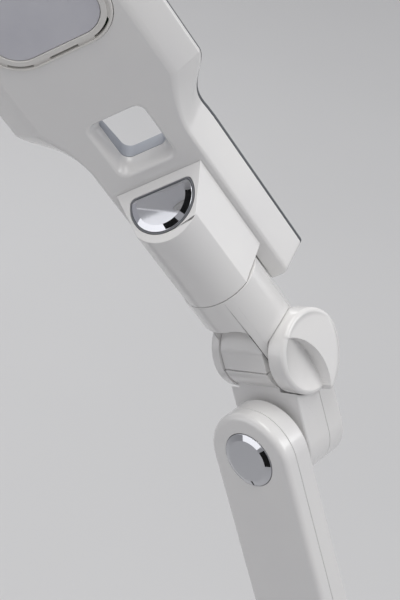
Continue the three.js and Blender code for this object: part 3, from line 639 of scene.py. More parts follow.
# %% Ribs round the rubber ring
def instance_tree(name, inputs, make_points, turn_outwards):
    """Places one object on points; the points come from a function that adds their nodes."""
    tree, group_in = geometry_tree(name, inputs + [("Item", "NodeSocketObject"),
                                                   ("Material", "NodeSocketMaterial")])
    item = add(tree, "GeometryNodeObjectInfo", {"Object": group_in.outputs["Item"]})
    points = make_points(tree, group_in)
    values = {"Points": points, "Instance": item.outputs["Geometry"]}
    if turn_outwards:
        outwards = add(tree, "GeometryNodeInputPosition")
        turn = add(tree, "FunctionNodeAlignRotationToVector",
                   {"Vector": outwards.outputs["Position"]}, axis="X")
        values["Rotation"] = turn.outputs["Rotation"]
    placed = add(tree, "GeometryNodeInstanceOnPoints", values)
    close_tree(tree, placed.outputs["Instances"], group_in.outputs["Material"])
    return tree


def circle_points(tree, group_in):
    ring = add(tree, "GeometryNodeMeshCircle", {"Vertices": group_in.outputs["Count"],
                                                "Radius": group_in.outputs["Radius"]})
    return ring.outputs["Mesh"]


def grown_copies(tree, item_mesh, values):
    item = linked("item", item_mesh)
    mesh = grown(tree, {**values, "Item": item})
    bpy.data.objects.remove(item)
    return mesh


RIB_COUNT = 120
rib = drawn(rounded_box(-0.7, 0.7, 0.6, PAD_TOP - 0.4, 0.3, 3), "y", -1.0, 1.0)
rib.transform(Matrix.Rotation(math.pi / 2, 4, "Z"))
rib_tree = instance_tree("ring_of_ribs", [("Count", "NodeSocketInt"),
                                          ("Radius", "NodeSocketFloat")], circle_points, True)
ribs = grown_copies(rib_tree, rib, {"Count": RIB_COUNT, "Radius": PAD_RADIUS - 1.0,
                                    "Material": rubber})
piece("foot_grip_ribs", ribs, WORLD, rubber, "stand")

# %% [markdown]
# The power inlet is a rubber block with a round socket, set in the cover's rear edge.

# %% Power inlet
inlet_low, inlet_high = measure("base_power_inlet", WORLD)
inlet_outline = rounded_box(inlet_low.x, inlet_high.x, inlet_low.z, inlet_high.z, 1.6, 8)
inlet = drawn(inlet_outline, "y", inlet_low.y, inlet_high.y, 0, 0.6, 5)
SOCKET_RADIUS, SOCKET_START, SOCKET_HEIGHT = 4.4, 138, 16
inlet = cut(inlet, post(SOCKET_RADIUS, SOCKET_START, inlet_high.y + 4, SOCKET_HEIGHT, sides=64))
piece("power_inlet", inlet, WORLD, rubber, "stand", ["base_power_inlet"], edge=0.3)

# %% [markdown]
# ## The column
# An enamelled tube with a turned nylon bush in its mouth. The chrome stub that
# the arm's lower block turns on stands in that bush.

# %% Column tube, bush and stub
tube = turned_ring([(COLUMN_RADIUS - COLUMN_WALL, tube_low.z), (COLUMN_RADIUS, tube_low.z),
                    (COLUMN_RADIUS, COLUMN_TOP), (COLUMN_RADIUS - COLUMN_WALL, COLUMN_TOP)],
                   0.4, 5, enamel)
piece("column", tube, WORLD, enamel, "stand", ["column_tube"])

bush_low, bush_high = measure("swivel_bush", WORLD)
BUSH_RADIUS = COLUMN_RADIUS - COLUMN_WALL - 0.2
bush = turned_ring([(SWIVEL_RADIUS + GAP, bush_low.z), (BUSH_RADIUS, bush_low.z),
                    (BUSH_RADIUS, COLUMN_TOP + GAP), (COLUMN_RADIUS, COLUMN_TOP + GAP),
                    (COLUMN_RADIUS, bush_high.z), (SWIVEL_RADIUS + GAP, bush_high.z)],
                   0.3, 4, nylon)
piece("column_bush", bush, WORLD, nylon, "stand", ["swivel_bush"])

TURRET_MIDDLE = (BLOCK_FRONT + block_back) / 2
stub_low, stub_high = measure("turret_stub", TURRET)
STUB_SEAT, STUB_FLANGE, STUB_HEAD = bush_high.z - low_pivot.z / MM + GAP, 18, 10.3
stub = turned([(0, stub_low.z), (SWIVEL_RADIUS, stub_low.z, 0.8), (SWIVEL_RADIUS, STUB_SEAT),
               (STUB_FLANGE, STUB_SEAT, 0.8), (STUB_FLANGE, STUB_SEAT + 4.7, 1.6),
               (STUB_HEAD, STUB_SEAT + 6, 1.5), (STUB_HEAD, stub_high.z, 0.5),
               (0, stub_high.z)], steps=6)
piece("turret_swivel_stub", moved(stub, y=TURRET_MIDDLE), TURRET, chrome, "turret",
      ["turret_stub"])

# %% [markdown]
# ## The arm
# Two moulded trays meet at a seam. The front one has a broad soft edge, the
# rear one a tight edge. A stadium outline, stepped inwards along a rounded
# profile and back inside, gives each tray as one closed shell.


# %% Arm trays
ARM_SOFT, ARM_TIGHT = 6.0, 2.0
arm_outline = stadium(ARM_RADIUS, 0, arm_length)
SCREW_SIDE, SCREW_HOLE = 23.5, 1.8
screw_spots = [(side, share * arm_length) for side in (-SCREW_SIDE, SCREW_SIDE)
               for share in (0.25, 0.75)]

BOSS_FRONT, BOSS_REAR, NUT_ROOM, THROUGH = 23, 14, 11, 30

front_profile = rounded([(ARM_SOFT + 3, 0, 0), (0, 0, ARM_SOFT), (0, SEAM_FRONT, 0.45),
                         (ARM_WALL, SEAM_FRONT, 0.3), (ARM_WALL, ARM_WALL, 1.5),
                         (ARM_WALL + 3, ARM_WALL, 0)], 0, 12, closed=False)
rear_profile = rounded([(ARM_TIGHT + 3, ARM_THICK, 0), (0, ARM_THICK, ARM_TIGHT),
                        (0, SEAM_REAR, 0.45), (ARM_WALL, SEAM_REAR, 0.3),
                        (ARM_WALL, ARM_THICK - ARM_WALL, 1.2),
                        (ARM_WALL + 3, ARM_THICK - ARM_WALL, 0)], 0, 10, closed=False)
arm_front = stepped(arm_outline, front_profile)
arm_rear = stepped(arm_outline, rear_profile)
for z in (0, arm_length):
    pin_hole = post(PIN_RADIUS + GAP, 0, THROUGH, z, sides=48)
    arm_front = join(arm_front, post(BOSS_FRONT, ARM_WALL - 0.5, SEAM_FRONT, z))
    arm_front = cut(arm_front, post(DISC_RADIUS, -5, DISC_DEPTH + GAP, z),
                    post(NUT_ROOM, 0, 8.3, z, sides=64), pin_hole)
    arm_rear = join(arm_rear, post(BOSS_REAR, 17.3, ARM_THICK - 1, z, sides=96))
    arm_rear = cut(arm_rear, pin_hole)
for x, z in screw_spots:
    arm_front = join(arm_front, post(4.2, ARM_WALL - 0.5, SEAM_FRONT, z, x, 40))
    arm_front = cut(arm_front, post(SCREW_HOLE, 4, THROUGH, z, x, 24))
    arm_rear = join(arm_rear, post(4.6, SEAM_REAR, ARM_THICK - 1, z, x, 40))
    arm_rear = cut(arm_rear, post(SCREW_HOLE, 0, THROUGH, z, x, 24),
                   post(3.4, 16, THROUGH, z, x, 40))
casing("arm_front_casing", arm_front, ARM, "arm", "arm_front_shell")
casing("arm_rear_casing", arm_rear, ARM, "arm", "arm_rear_shell")

# %% [markdown]
# Four screws hold the trays together from behind. Each is a pan head with a
# hexagon socket, drawn once and placed on the four spots by the instance tree.


# %% Screws
def upright_grid(tree, group_in, columns, rows):
    """The points of a grid that stands upright round its middle."""
    outputs = group_in.outputs
    grid = add(tree, "GeometryNodeMeshGrid", {"Size X": outputs["Width"],
                                              "Size Y": outputs["Length"],
                                              "Vertices X": columns, "Vertices Y": rows})
    stand_up = add(tree, "GeometryNodeTransform", {"Geometry": grid.outputs["Mesh"],
                                                   "Rotation": (math.pi / 2, 0, 0),
                                                   "Translation": outputs["Middle"]})
    return stand_up.outputs["Geometry"]


GRID_INPUTS = [("Width", "NodeSocketFloat"), ("Length", "NodeSocketFloat"),
               ("Middle", "NodeSocketVector")]
SCREW_SEAT, SCREW_TOP, SCREW_TIP = 16.3, 18.6, 5.0
THREAD_RADIUS, PAN_RADIUS = 1.5, 3.1
screw = turned([(0, SCREW_TIP), (THREAD_RADIUS, SCREW_TIP, 0.4), (THREAD_RADIUS, SCREW_SEAT, 0.1),
                (PAN_RADIUS, SCREW_SEAT, 0.2), (PAN_RADIUS, SCREW_TOP, 0.8), (0, SCREW_TOP)],
               "y", 40, 5)
screw = cut(screw, bar(1.45, SCREW_TOP - 1.5, SCREW_TOP + 1, "y", 6))
screw_tree = instance_tree("screw_grid", GRID_INPUTS,
                           lambda tree, group_in: upright_grid(tree, group_in, 2, 2), False)
screws = grown_copies(screw_tree, screw, {"Width": 2 * SCREW_SIDE, "Length": arm_length / 2,
                                          "Middle": (0, 0, arm_length / 2), "Material": zinc})
piece("arm_screws", screws, ARM, zinc, "arm", [f"arm_screw_{i}" for i in (1, 2, 3, 4)])

# %% [markdown]
# A chromed disc covers each pivot's nut. It sits in a round recess with a
# hairline gap, and its polished slope catches the light as a thin bright ring.

# %% Pivot discs
disc_low, disc_high = measure("lower_disc_cap", ARM)
DISC_SLOPE = 3.9
DISC_RIM = DISC_RADIUS - GAP
disc = turned([(0, disc_low.y), (DISC_RIM - DISC_SLOPE, disc_low.y, 0.5),
               (DISC_RIM, disc_low.y + 1.5, 0.35), (DISC_RIM, disc_high.y, 0.3),
               (0, disc_high.y)], "y", 192, 6)
for label, z in (("lower", 0), ("upper", arm_length)):
    piece(f"{label}_pivot_disc", moved(disc, z=z), ARM, chrome, "arm", [f"{label}_disc_cap"])

# %% [markdown]
# ## The pivot blocks
# Both ends of the arm bolt to the same kind of block, split in a front and a
# rear half. The upper one also carries the fixed lower half of the hinge barrel,
# and its sides are cut away for the knob and the cheek that turn beside it.

# %% Block halves
BLOCK_EDGE, BLOCK_BACK_EDGE, PIN_BOSS = 1.5, 4.0, 11


def block_halves(outline, hollow, barrel, trims):
    """The front and rear shell of a pivot block, with a boss for the pin and maybe a barrel."""
    front = drawn(outline, "y", BLOCK_FRONT, BLOCK_SEAM - GAP / 2, BLOCK_EDGE, 0.3, 6)
    rear = drawn(outline, "y", BLOCK_SEAM + GAP / 2, block_back, 0.3, BLOCK_BACK_EDGE, 8)
    front = cut(front, drawn(hollow, "y", BLOCK_FRONT + BLOCK_WALL, BLOCK_SEAM + 1))
    rear = cut(rear, drawn(hollow, "y", BLOCK_SEAM - 1, block_back - BLOCK_WALL))
    front = join(front, bar(PIN_BOSS, BLOCK_FRONT + 1, BLOCK_SEAM - GAP / 2, "y", 72))
    rear = join(rear, bar(PIN_BOSS, BLOCK_SEAM + GAP / 2, block_back - 1, "y", 72))
    if barrel:
        front = join(front, keep(barrel, block(-60, 60, -60, BLOCK_SEAM - GAP / 2, -90, 200)))
        rear = join(rear, keep(barrel, block(-60, 60, BLOCK_SEAM + GAP / 2, 160, -90, 200)))
    bore = bar(PIN_RADIUS + GAP, 0, block_back - BLOCK_WALL, "y", 48)
    head_room = bar(PIN_BOSS - 1, BLOCK_SEAM + 10, block_back - BLOCK_WALL, "y", 64)
    return cut(front, bore, *trims), cut(rear, bore, head_room, *trims)


# %% Upper block
def at_hinge(mesh):
    """A shape drawn round the hinge, moved to where the block carries it."""
    return moved(mesh, 0, HINGE_BACK, HINGE_UP)


SPLIT_HEIGHT = HINGE_UP + CORE_SPLIT
barrel = at_hinge(bar(CORE_RADIUS, CORE_LEFT, CORE_RIGHT, "x", 192))
below_split = keep(barrel, block(-60, 60, -60, 160, -90, SPLIT_HEIGHT - GAP))
INNER_RADIUS, HOLLOW_TOP = BLOCK_RADIUS - BLOCK_WALL, HINGE_UP - CORE_RADIUS - 4
half_turn = [math.pi + math.pi * i / 48 for i in range(49)]
block_hollow = [(INNER_RADIUS * math.cos(turn), INNER_RADIUS * math.sin(turn))
                for turn in half_turn]
block_hollow += [(INNER_RADIUS, HOLLOW_TOP), (-INNER_RADIUS, HOLLOW_TOP)]
side_room = [at_hinge(bar(KNOB_RADIUS + 0.6, start, end, "x", 192))
             for start, end in ((CORE_RIGHT, 60), (-60, CORE_LEFT))]
block_trims = side_room + [block(-60, 60, -20, 120, SPLIT_HEIGHT - GAP, 200)]
upper_front, upper_rear = block_halves(stadium(BLOCK_RADIUS, 0, HINGE_UP + 20), block_hollow,
                                       below_split, block_trims)
casing("upper_block_front", upper_front, BLOCK, "block", "block_front_shell")
casing("upper_block_rear", upper_rear, BLOCK, "block", "block_rear_shell")

# %% Hinge barrel
FACET_DEPTH, FACET_HIGH = 0.9, 8.2
facet = keep(at_hinge(block(-60, 60, -60, FACET_DEPTH - CORE_RADIUS, -60, 60)),
             at_hinge(block(-60, 60, -60, 0, CORE_SPLIT - 1, FACET_HIGH)))
core = keep(barrel, block(-60, 60, -60, 160, SPLIT_HEIGHT, 200))
core = cut(core, facet, at_hinge(bar(BOLT_RADIUS + 2 * GAP, -60, 60, "x", 48)))
casing("hinge_barrel", core, BLOCK, "block", "block_core")

# %% Lower block
LOWER_LENGTH = 45
lower_outline = stadium(BLOCK_RADIUS, -LOWER_LENGTH, 0)
lower_hollow = stadium(BLOCK_RADIUS - BLOCK_WALL, -LOWER_LENGTH, 0)
stub_room = moved(bar(STUB_HEAD + GAP, -90, -40, "z", 72), y=TURRET_MIDDLE)
lower_front, lower_rear = block_halves(lower_outline, lower_hollow, None, [stub_room])
casing("lower_block_front", lower_front, TURRET, "turret", "turret_front_shell")
casing("lower_block_rear", lower_rear, TURRET, "turret", "turret_rear_shell")

# %% [markdown]
# ## The neck
# The fork is a round tube whose lower end straddles the barrel: a thick cheek on
# the left, a thin one on the right, and an arched opening in front that shows
# the barrel. It is built as it would be machined, tube first, then the cuts.

# %% Neck fork
CHEEK_LEFT, CHEEK_LEFT_RADIUS = fork_low.x, 26.5
CHEEK_RIGHT, CHEEK_RIGHT_RADIUS = 20.0, 21.0
ARCH_LEFT, ARCH_RIGHT, ARCH_TOP = -20.2, 16.4, 43.5
neck_tube = bar(NECK_RADIUS, 0, NECK_SEAM - GAP, "z", 192, edge=0.3)
left_cheek = turned([(0, CHEEK_LEFT), (CHEEK_LEFT_RADIUS, CHEEK_LEFT, 2.2),
                     (CHEEK_LEFT_RADIUS, CORE_LEFT - GAP, 0.3), (0, CORE_LEFT - GAP)],
                    "x", 192, 10)
right_cheek = bar(CHEEK_RIGHT_RADIUS, CORE_RIGHT + GAP, CHEEK_RIGHT, "x", 192)
arch = drawn(rounded_box(ARCH_LEFT, ARCH_RIGHT, -20, ARCH_TOP, 9, 16), "y", -60, -9)
fork = cut(join(neck_tube, right_cheek),
           bar(CORE_RADIUS + 0.5, CORE_LEFT - GAP, CORE_RIGHT + GAP, "x", 192),
           bar(KNOB_RADIUS + 0.5, CHEEK_RIGHT, 60, "x", 192), arch)
fork = join(fork, left_cheek)
bolt_hole = bar(BOLT_RADIUS + GAP, CHEEK_LEFT + 4, 60, "x", 48)
washer_seat = bar(14.3, CHEEK_LEFT + 4.3, CORE_LEFT + 1, "x", 72)
bolt_head_seat = bar(8.6, CHEEK_LEFT + 3, CHEEK_LEFT + 5, "x", 64)
swivel_hole = bar(SWIVEL_RADIUS + GAP, 46, 90, "z", 72)
casing("neck_fork_casting", cut(fork, bolt_hole, washer_seat, bolt_head_seat, swivel_hole), NECK,
       "neck", "neck_fork")

# %% [markdown]
# ## The clamp knob
# Its face is a dish with a crescent ridge for the fingers, highest at its lower
# end. Such a soft form is easier as a relief than as cuts: every point of a
# round grid gets its height from one formula, with the dish, the ridge's top,
# its outer slope and its steep inner wall blended into each other.

# %% Knob relief
RIDGE_TOP, RIDGE_SLOPE, RIDGE_ARC = 36.2, 0.15, 30.0
SLOPE_TOP, SLOPE_FALL, BELOW_DISH = 40.5, 0.73, 15.0
DISH_FLOOR, DISH_RISE, DISH_RADIUS = 26.9, 6.2, 24.0
SCOOP_CENTRE, SLOPE_CENTRE = (-27.0, -13.0), (-15.0, 0.0)
lean = BLOCK.inverted().to_3x3() @ neck_axis
tilt = math.atan2(-lean.y, lean.z)


def soft_max(a, b, width):
    """The larger of two values, blended where they are closer than the width."""
    share = max(0.0, width - abs(a - b)) / width
    return max(a, b) + share * share * width / 4


def soft_min(a, b, width):
    return -soft_max(-a, -b, width)


def ease(value):
    share = min(1.0, max(0.0, value))
    return share * share * (3 - 2 * share)


def mix(a, b, share):
    return a + (b - a) * share


def knob_height(y, z):
    """How far the knob's face stands out at a point, in the neck's frame."""
    dish = DISH_FLOOR + DISH_RISE * (math.hypot(y, z) / DISH_RADIUS) ** 2
    level_y = y * math.cos(tilt) - z * math.sin(tilt)
    level_z = y * math.sin(tilt) + z * math.cos(tilt)
    top = RIDGE_TOP - RIDGE_SLOPE * level_z
    away = math.hypot(level_y - SLOPE_CENTRE[0], level_z - SLOPE_CENTRE[1])
    slope = SLOPE_TOP - SLOPE_FALL * max(0.0, away - RIDGE_ARC)
    ridge = soft_min(top, slope, 1.6)
    wall = math.hypot(level_y - SCOOP_CENTRE[0], level_z - SCOOP_CENTRE[1]) - RIDGE_ARC
    ridge = mix(BELOW_DISH, ridge, ease((wall + 0.2) / 1.6))
    return soft_max(dish, ridge, 1.4)


# %% Clamp knob
KNOB_SIDES, KNOB_RINGS, KNOB_LIP = 240, 72, 2.8
rings = []
for ring in range(1, KNOB_RINGS + 1):
    radius = (KNOB_RADIUS - KNOB_LIP) * ring / KNOB_RINGS
    rings.append([(knob_height(radius * math.cos(turn), radius * math.sin(turn)),
                   radius * math.cos(turn), radius * math.sin(turn))
                  for turn in (2 * math.pi * i / KNOB_SIDES for i in range(KNOB_SIDES))])
brim = rings[-1]
for step in range(1, 9):
    turn = math.pi / 2 * step / 8
    grow = (KNOB_RADIUS - KNOB_LIP + KNOB_LIP * math.sin(turn)) / (KNOB_RADIUS - KNOB_LIP)
    rings.append([(x - KNOB_LIP * (1 - math.cos(turn)), y * grow, z * grow) for x, y, z in brim])
side_scale = KNOB_RADIUS / (KNOB_RADIUS - KNOB_LIP)
for share in (0.25, 0.5, 0.75):
    rings.append([(mix(x - KNOB_LIP, KNOB_START + 1, share), y * side_scale, z * side_scale)
                  for x, y, z in brim])
for step in range(7):
    turn = math.pi / 2 * step / 6
    grow = (KNOB_RADIUS - 1 + math.cos(turn)) / (KNOB_RADIUS - KNOB_LIP)
    rings.append([(KNOB_START + 1 - math.sin(turn), y * grow, z * grow) for x, y, z in brim])
knob = stacked(rings)
NUT_POCKET = 9.3
knob = cut(knob, bar(NUT_POCKET, KNOB_START - 1, KNOB_START + 5, "x", 6))
casing("clamp_knob_moulding", knob, NECK, "knob", "clamp_knob", edge=0, crease=40)

# %% [markdown]
# ## The head
# The head is one outline that widens towards the back: narrow where the hand
# holds it, wide round the lamp, with a soft shoulder between. So its rings all
# follow two rules, the half width at a height and depth, and the back surface's
# depth at a height. The same rules make the front shell, its hollow and the
# back cover.

# %% The head's rules
NARROW_FRONT, NARROW_BACK, WIDE_FRONT, WIDE_BACK = 32.6, 43.7, 44.5, 61.5
BACK_NARROW, BACK_WIDE, WIDE_DEPTH = 37.0, 30.0, 24.5
TAIL_END, HEAD_END = shell_low.z, 392.0
SHOULDER_START, SHOULDER_END = 158.0, 200.0
BACK_PLATE, SHELL_WALL = 1.8, 2.3
OUTER_CORNERS, INNER_CORNERS = (4.0, 16.0), (4.0, 14.0)


def shoulder(z, y):
    share = min(1.0, max(0.0, (z - SHOULDER_START) / (SHOULDER_END - SHOULDER_START)))
    return mix(share ** 1.7, ease(share ** 1.35), min(1.0, max(0.0, (y - FACE) / 15)))


def half_width(z, y):
    depth = max(0.0, y - FACE)
    narrow = mix(NARROW_FRONT, NARROW_BACK, min(1.0, depth / (BACK_NARROW - FACE)))
    wide = mix(WIDE_FRONT, WIDE_BACK, min(1.0, depth / (WIDE_DEPTH - FACE)) ** 0.8)
    return mix(narrow, wide, shoulder(z, y))


def end_shift(z, y):
    depth = min(1.0, max(0.0, y - FACE) / (WIDE_DEPTH - FACE))
    return 14 * ease((z - (HEAD_END - 60)) / 60) * depth ** 0.8


def back_depth(z):
    return mix(BACK_NARROW, BACK_WIDE, ease((z - 150) / 55))


def side_stations(low, high, corners):
    """Right-hand outline points at the face, as (width share, height), from the low end up."""
    foot, crown = corners
    heights = [low + foot, 70, 100, 130, 150]
    heights += [SHOULDER_START + 2 * i for i in range(22)]
    heights += [220, 260, 300] + [HEAD_END - end for end in (60, 50, 40, 30)] + [high - crown]
    points = [(0.0, z) for z in sorted(heights) if low + foot <= z <= high - crown]
    arc = [math.pi / 2 * i / 14 for i in range(1, 15)]
    start = [(foot * (1 - math.cos(turn)), low + foot - foot * math.sin(turn))
             for turn in reversed(arc)]
    end = [(crown * (1 - math.cos(turn)), high - crown + crown * math.sin(turn)) for turn in arc]
    return start + points + end


def head_solid(low, high, corners, thinner, depth_from, depth_to, round_front=0.0,
               round_back=0.0):
    """The head between two depths, functions of height; thinner takes a wall off all round."""
    stations = side_stations(low, high, corners)
    levels = [(step_in, 0.0, deep) for step_in, deep in quarter(round_front)]
    levels += [(0.0, step / 14, 0.0) for step in range(1, 14)]
    levels += [(deep, 1.0, -step_in) for step_in, deep in quarter(round_back)]
    rings = []
    for step_in, share, offset in levels:
        right = []
        for drop, z in stations:
            front, back = depth_from(z) + round_front, depth_to(z) - round_back
            edges = {0.0: depth_from(z) + offset, 1.0: depth_to(z) + offset}
            y = edges.get(share, mix(front, back, share))
            flat_width = half_width(z, FACE) - thinner
            width = (flat_width - drop) * (half_width(z, y) - thinner) / flat_width
            right.append((width, y, z + end_shift(z, y)))
        ring = right + [(-x, y, z) for x, y, z in reversed(right)]
        outline = inset([(x, z) for x, y, z in ring], step_in)
        rings.append([(u, y, v) for (u, v), (x, y, z) in zip(outline, ring)])
    return stacked(rings, strips=True)


# %% [markdown]
# The finger opening is flared at the face and straight behind it. Its outline
# keeps its corner radius while its sides spread, and the last millimetre rolls
# over into the face.

# %% Finger opening
WINDOW_HALF, WINDOW_LOW, WINDOW_HIGH, WINDOW_RADIUS = 15.0, 153.5, 187.5, 6.0
WINDOW_FLARE, WINDOW_ROLL = 4.0, 1.3
WINDOW_SEAM = 26.2
WINDOW_MIDDLE = (WINDOW_LOW + WINDOW_HIGH) / 2


def window_solid(grow, start, end, flared):
    outline = rounded_box(-WINDOW_HALF - grow, WINDOW_HALF + grow, WINDOW_LOW - grow,
                          WINDOW_HIGH + grow, WINDOW_RADIUS + grow, 14)
    depths = [start, FACE - 0.01] + [FACE + WINDOW_ROLL * (i / 8) ** 2 for i in range(9)]
    depths += [mix(FACE + WINDOW_ROLL, WINDOW_SEAM, i / 8) for i in range(1, 9)] + [end]
    rings = []
    for y in (depth for depth in depths if start <= depth <= end):
        share = min(1.0, max(0.0, (WINDOW_SEAM - y) / (WINDOW_SEAM - FACE)))
        near = min(1.0, max(0.0, 1 - (y - FACE) / WINDOW_ROLL))
        roll = WINDOW_ROLL * (1 - math.sqrt(1 - near * near))
        spread = flared * (WINDOW_FLARE * share ** 1.5 + roll)
        rings.append([(u + math.copysign(spread, u), y,
                       v + math.copysign(spread, v - WINDOW_MIDDLE)) for u, v in outline])
    return stacked(rings)


# %% Front shell
LENS_HALF, LENS_LOW, LENS_HIGH, LENS_RADIUS = 34.0, 246.5, 374.0, 17.0
RIM_WIDTH = 6.8
rim_outline = rounded_box(-LENS_HALF, LENS_HALF, LENS_LOW, LENS_HIGH, LENS_RADIUS, 20)
FACE_EDGE, HOLLOW_START = 1.5, 73
whole_head = head_solid(TAIL_END, HEAD_END, OUTER_CORNERS, 0, lambda z: FACE, back_depth,
                        FACE_EDGE, 1.0)
front_shell = head_solid(TAIL_END, HEAD_END, OUTER_CORNERS, 0, lambda z: FACE,
                         lambda z: back_depth(z) - BACK_PLATE - GAP, FACE_EDGE, 0.3)
hollow = head_solid(HOLLOW_START, HEAD_END - SHELL_WALL, INNER_CORNERS, SHELL_WALL,
                    lambda z: FACE + SHELL_WALL, lambda z: BACK_NARROW + 9)
hollow = cut(hollow, window_solid(SHELL_WALL, FACE - 5, WINDOW_SEAM - GAP / 2, 1))
lens_seat = drawn(inset(rim_outline, -RIM_WIDTH - GAP), "y", FACE - 1, FACE + SHELL_WALL + 1)
neck_room = bar(NECK_RADIUS + 1.3, 0, NECK_SEAM + 0.6, "z", 192)
front_shell = cut(front_shell, hollow, lens_seat, neck_room, window_solid(0, FACE - 5, 50, 1))
casing("head_front_casing", front_shell, HEAD, "head", "head_front_shell", 0.3, 14)

# %% [markdown]
# The back cover is a thin grey plate that follows the back surface. A lacquered
# liner behind the finger opening shows as its darker, metallic inner wall.

# %% Back cover
plate = head_solid(TAIL_END, HEAD_END, OUTER_CORNERS, 0, lambda z: back_depth(z) - BACK_PLATE,
                   back_depth, 0.3, 0.9)
plate = cut(plate, neck_room, window_solid(SHELL_WALL + 0.1, WINDOW_SEAM - 1, 50, 0))
liner = cut(window_solid(SHELL_WALL, WINDOW_SEAM + GAP / 2, 40, 0),
            window_solid(0, WINDOW_SEAM - 1, 50, 0))
piece("head_back_plate", plate, HEAD, graphite, "head", ["head_back_cover"],
      edge=0.3, crease=14)
piece("finger_opening_liner", keep(liner, whole_head), HEAD, silver, "head",
      edge=0.3, crease=40)

# %% [markdown]
# ## The lamp in the head
# A frosted acrylic lens sits in a rim with a groove all round. Short vents are
# cut through the groove at the middle and the corners of each end.

# %% Rim and lens
RIM_FRONT, RIM_BACK = FACE - 1.0, FACE + SHELL_WALL
GROOVE_MIDDLE, GROOVE_HALF, VENT_HALF = 4.4, 0.9, 0.7
groove_out, groove_in = -GROOVE_MIDDLE - GROOVE_HALF, -GROOVE_MIDDLE + GROOVE_HALF
vent_out, vent_in = -GROOVE_MIDDLE - VENT_HALF, -GROOVE_MIDDLE + VENT_HALF
rim_section = rounded([(-RIM_WIDTH, RIM_BACK, 0.2), (-RIM_WIDTH, RIM_FRONT, 0.7),
                       (groove_out, RIM_FRONT, 0.35), (groove_out, FACE, 0.1),
                       (groove_in, FACE, 0.1), (groove_in, RIM_FRONT, 0.35),
                       (0, RIM_FRONT, 0.6), (0, RIM_BACK, 0.2)], 0, 5)
rim = stepped(rim_outline, rim_section, closed=True)
vent_band = stepped(rim_outline, [(vent_out, 0), (vent_in, 0), (vent_in, 30), (vent_out, 30)],
                    closed=True)
lens_middle = (LENS_LOW + LENS_HIGH) / 2
for end in (-1, 1):
    for left, right in ((-33, -20), (-9.3, 9.3), (20, 33)):
        z0, z1 = sorted((lens_middle + end * 50, lens_middle + end * 90))
        rim = cut(rim, keep(vent_band, block(left, right, -5, 45, z0, z1)))
piece("lens_rim_moulding", rim, HEAD, rim_white, "head", ["lens_rim"])
lens = drawn(inset(rim_outline, GAP), "y", FACE - 0.4, RIM_BACK, 0.35, 0.2, 5)
piece("diffuser_lens", lens, HEAD, frosted, "head", ["lens"])

# %% [markdown]
# Behind the lens, a grid of LED chips is soldered to the board. They are drawn
# as one small domed chip on every point of a grid.


# %% LED chips
def chip_points(tree, group_in):
    return upright_grid(tree, group_in, group_in.outputs["Columns"], group_in.outputs["Rows"])


chip_tree = instance_tree("chip_grid", GRID_INPUTS + [("Columns", "NodeSocketInt"),
                                                      ("Rows", "NodeSocketInt")],
                          chip_points, False)
chip = drawn(rounded_box(-1.6, 1.6, -1.6, 1.6, 0.4, 3), "y", -0.85, -0.05, 0.4, 0, 3)
board_front = measure("led_board", HEAD)[0].y
chips = grown_copies(chip_tree, chip, {
    "Width": 52.0, "Length": 108.0, "Columns": 5, "Rows": 10,
    "Middle": (0, board_front, lens_middle), "Material": led_resin})
piece("led_chips", chips, HEAD, led_resin, "head")

# %% [markdown]
# ## The neck's top and its button
# This piece joins the round neck to the flat head. Its section is a round nose
# with flanks that spread to the head's face, and a sloping cut across its top
# carries the D-shaped push button.

# %% Neck top
NOSE_ANGLE, FLANK_HALF = math.radians(52), 28.7
D_TOP, D_FOOT = (15.0, 140.5), (-25.0, 124.4)
section_points = [(-FLANK_HALF, FACE - GAP), (FLANK_HALF, FACE - GAP)]
section_points += [(NECK_RADIUS * math.sin(turn), -NECK_RADIUS * math.cos(turn))
                   for turn in (mix(NOSE_ANGLE, -NOSE_ANGLE, i / 48) for i in range(49))]
nose = drawn(section_points, "z", NECK_SEAM + GAP, NECK_SEAM + GAP + 90)
down = Vector((0, D_FOOT[0] - D_TOP[0], D_FOOT[1] - D_TOP[1])).normalized()
out = Vector((0, down.z, -down.y))
far = [Vector((0, *D_TOP)) + down * reach for reach in (-90, 90)]
above = drawn([(far[1].y, far[1].z), (far[0].y, far[0].z), (far[0].y, 400), (far[1].y, 400)],
              "x", -60, 60)
nose = cut(nose, above, bar(SWIVEL_RADIUS + GAP, 0, 100 + GAP, "z", 72))

slope_turn = Matrix(((-1, 0, 0), down, out)).transposed().to_4x4()
ON_SLOPE = Matrix.Translation((0, *D_TOP)) @ slope_turn
BUTTON = HEAD @ ON_SLOPE
slope_angle = math.degrees(down.angle(Vector((0, 0, -1))))
print(f"slope of the button face: {slope_angle:.1f} degrees from the neck")

# %% [markdown]
# The button is a D: an arc with a straight top and small corners. A dark bezel
# lines its pocket, and the chromed cap slopes inwards, narrowly along the
# straight side and broadly round the arc, to a flat mirror.

# %% The D outline
BUTTON_RADIUS, BUTTON_CENTRE, BUTTON_EDGE, BUTTON_CORNER, BEZEL = 20.3, 16.0, 8.6, 4.0, 0.9
SPRING_CENTRE = 22


def d_outline(grow_arc, grow_edge):
    corner = max(1.2, BUTTON_CORNER + min(0.0, grow_edge))
    radius = BUTTON_RADIUS + grow_arc - corner
    straight = BUTTON_EDGE - grow_edge + corner
    start = math.asin((straight - BUTTON_CENTRE) / radius)
    corner_x = radius * math.cos(start)
    arcs = [(corner_x, straight, corner, -math.pi / 2, start, 12),
            (0, BUTTON_CENTRE, radius + corner, start, math.pi - start, 96),
            (-corner_x, straight, corner, math.pi - start, 1.5 * math.pi, 12)]
    return [(x + size * math.cos(mix(a, b, i / count)), y + size * math.sin(mix(a, b, i / count)))
            for x, y, size, a, b, count in arcs for i in range(count)]


def d_solid(grow, low, high):
    return stacked([[(u, v, z) for u, v in d_outline(grow, grow)] for z in (low, high)])


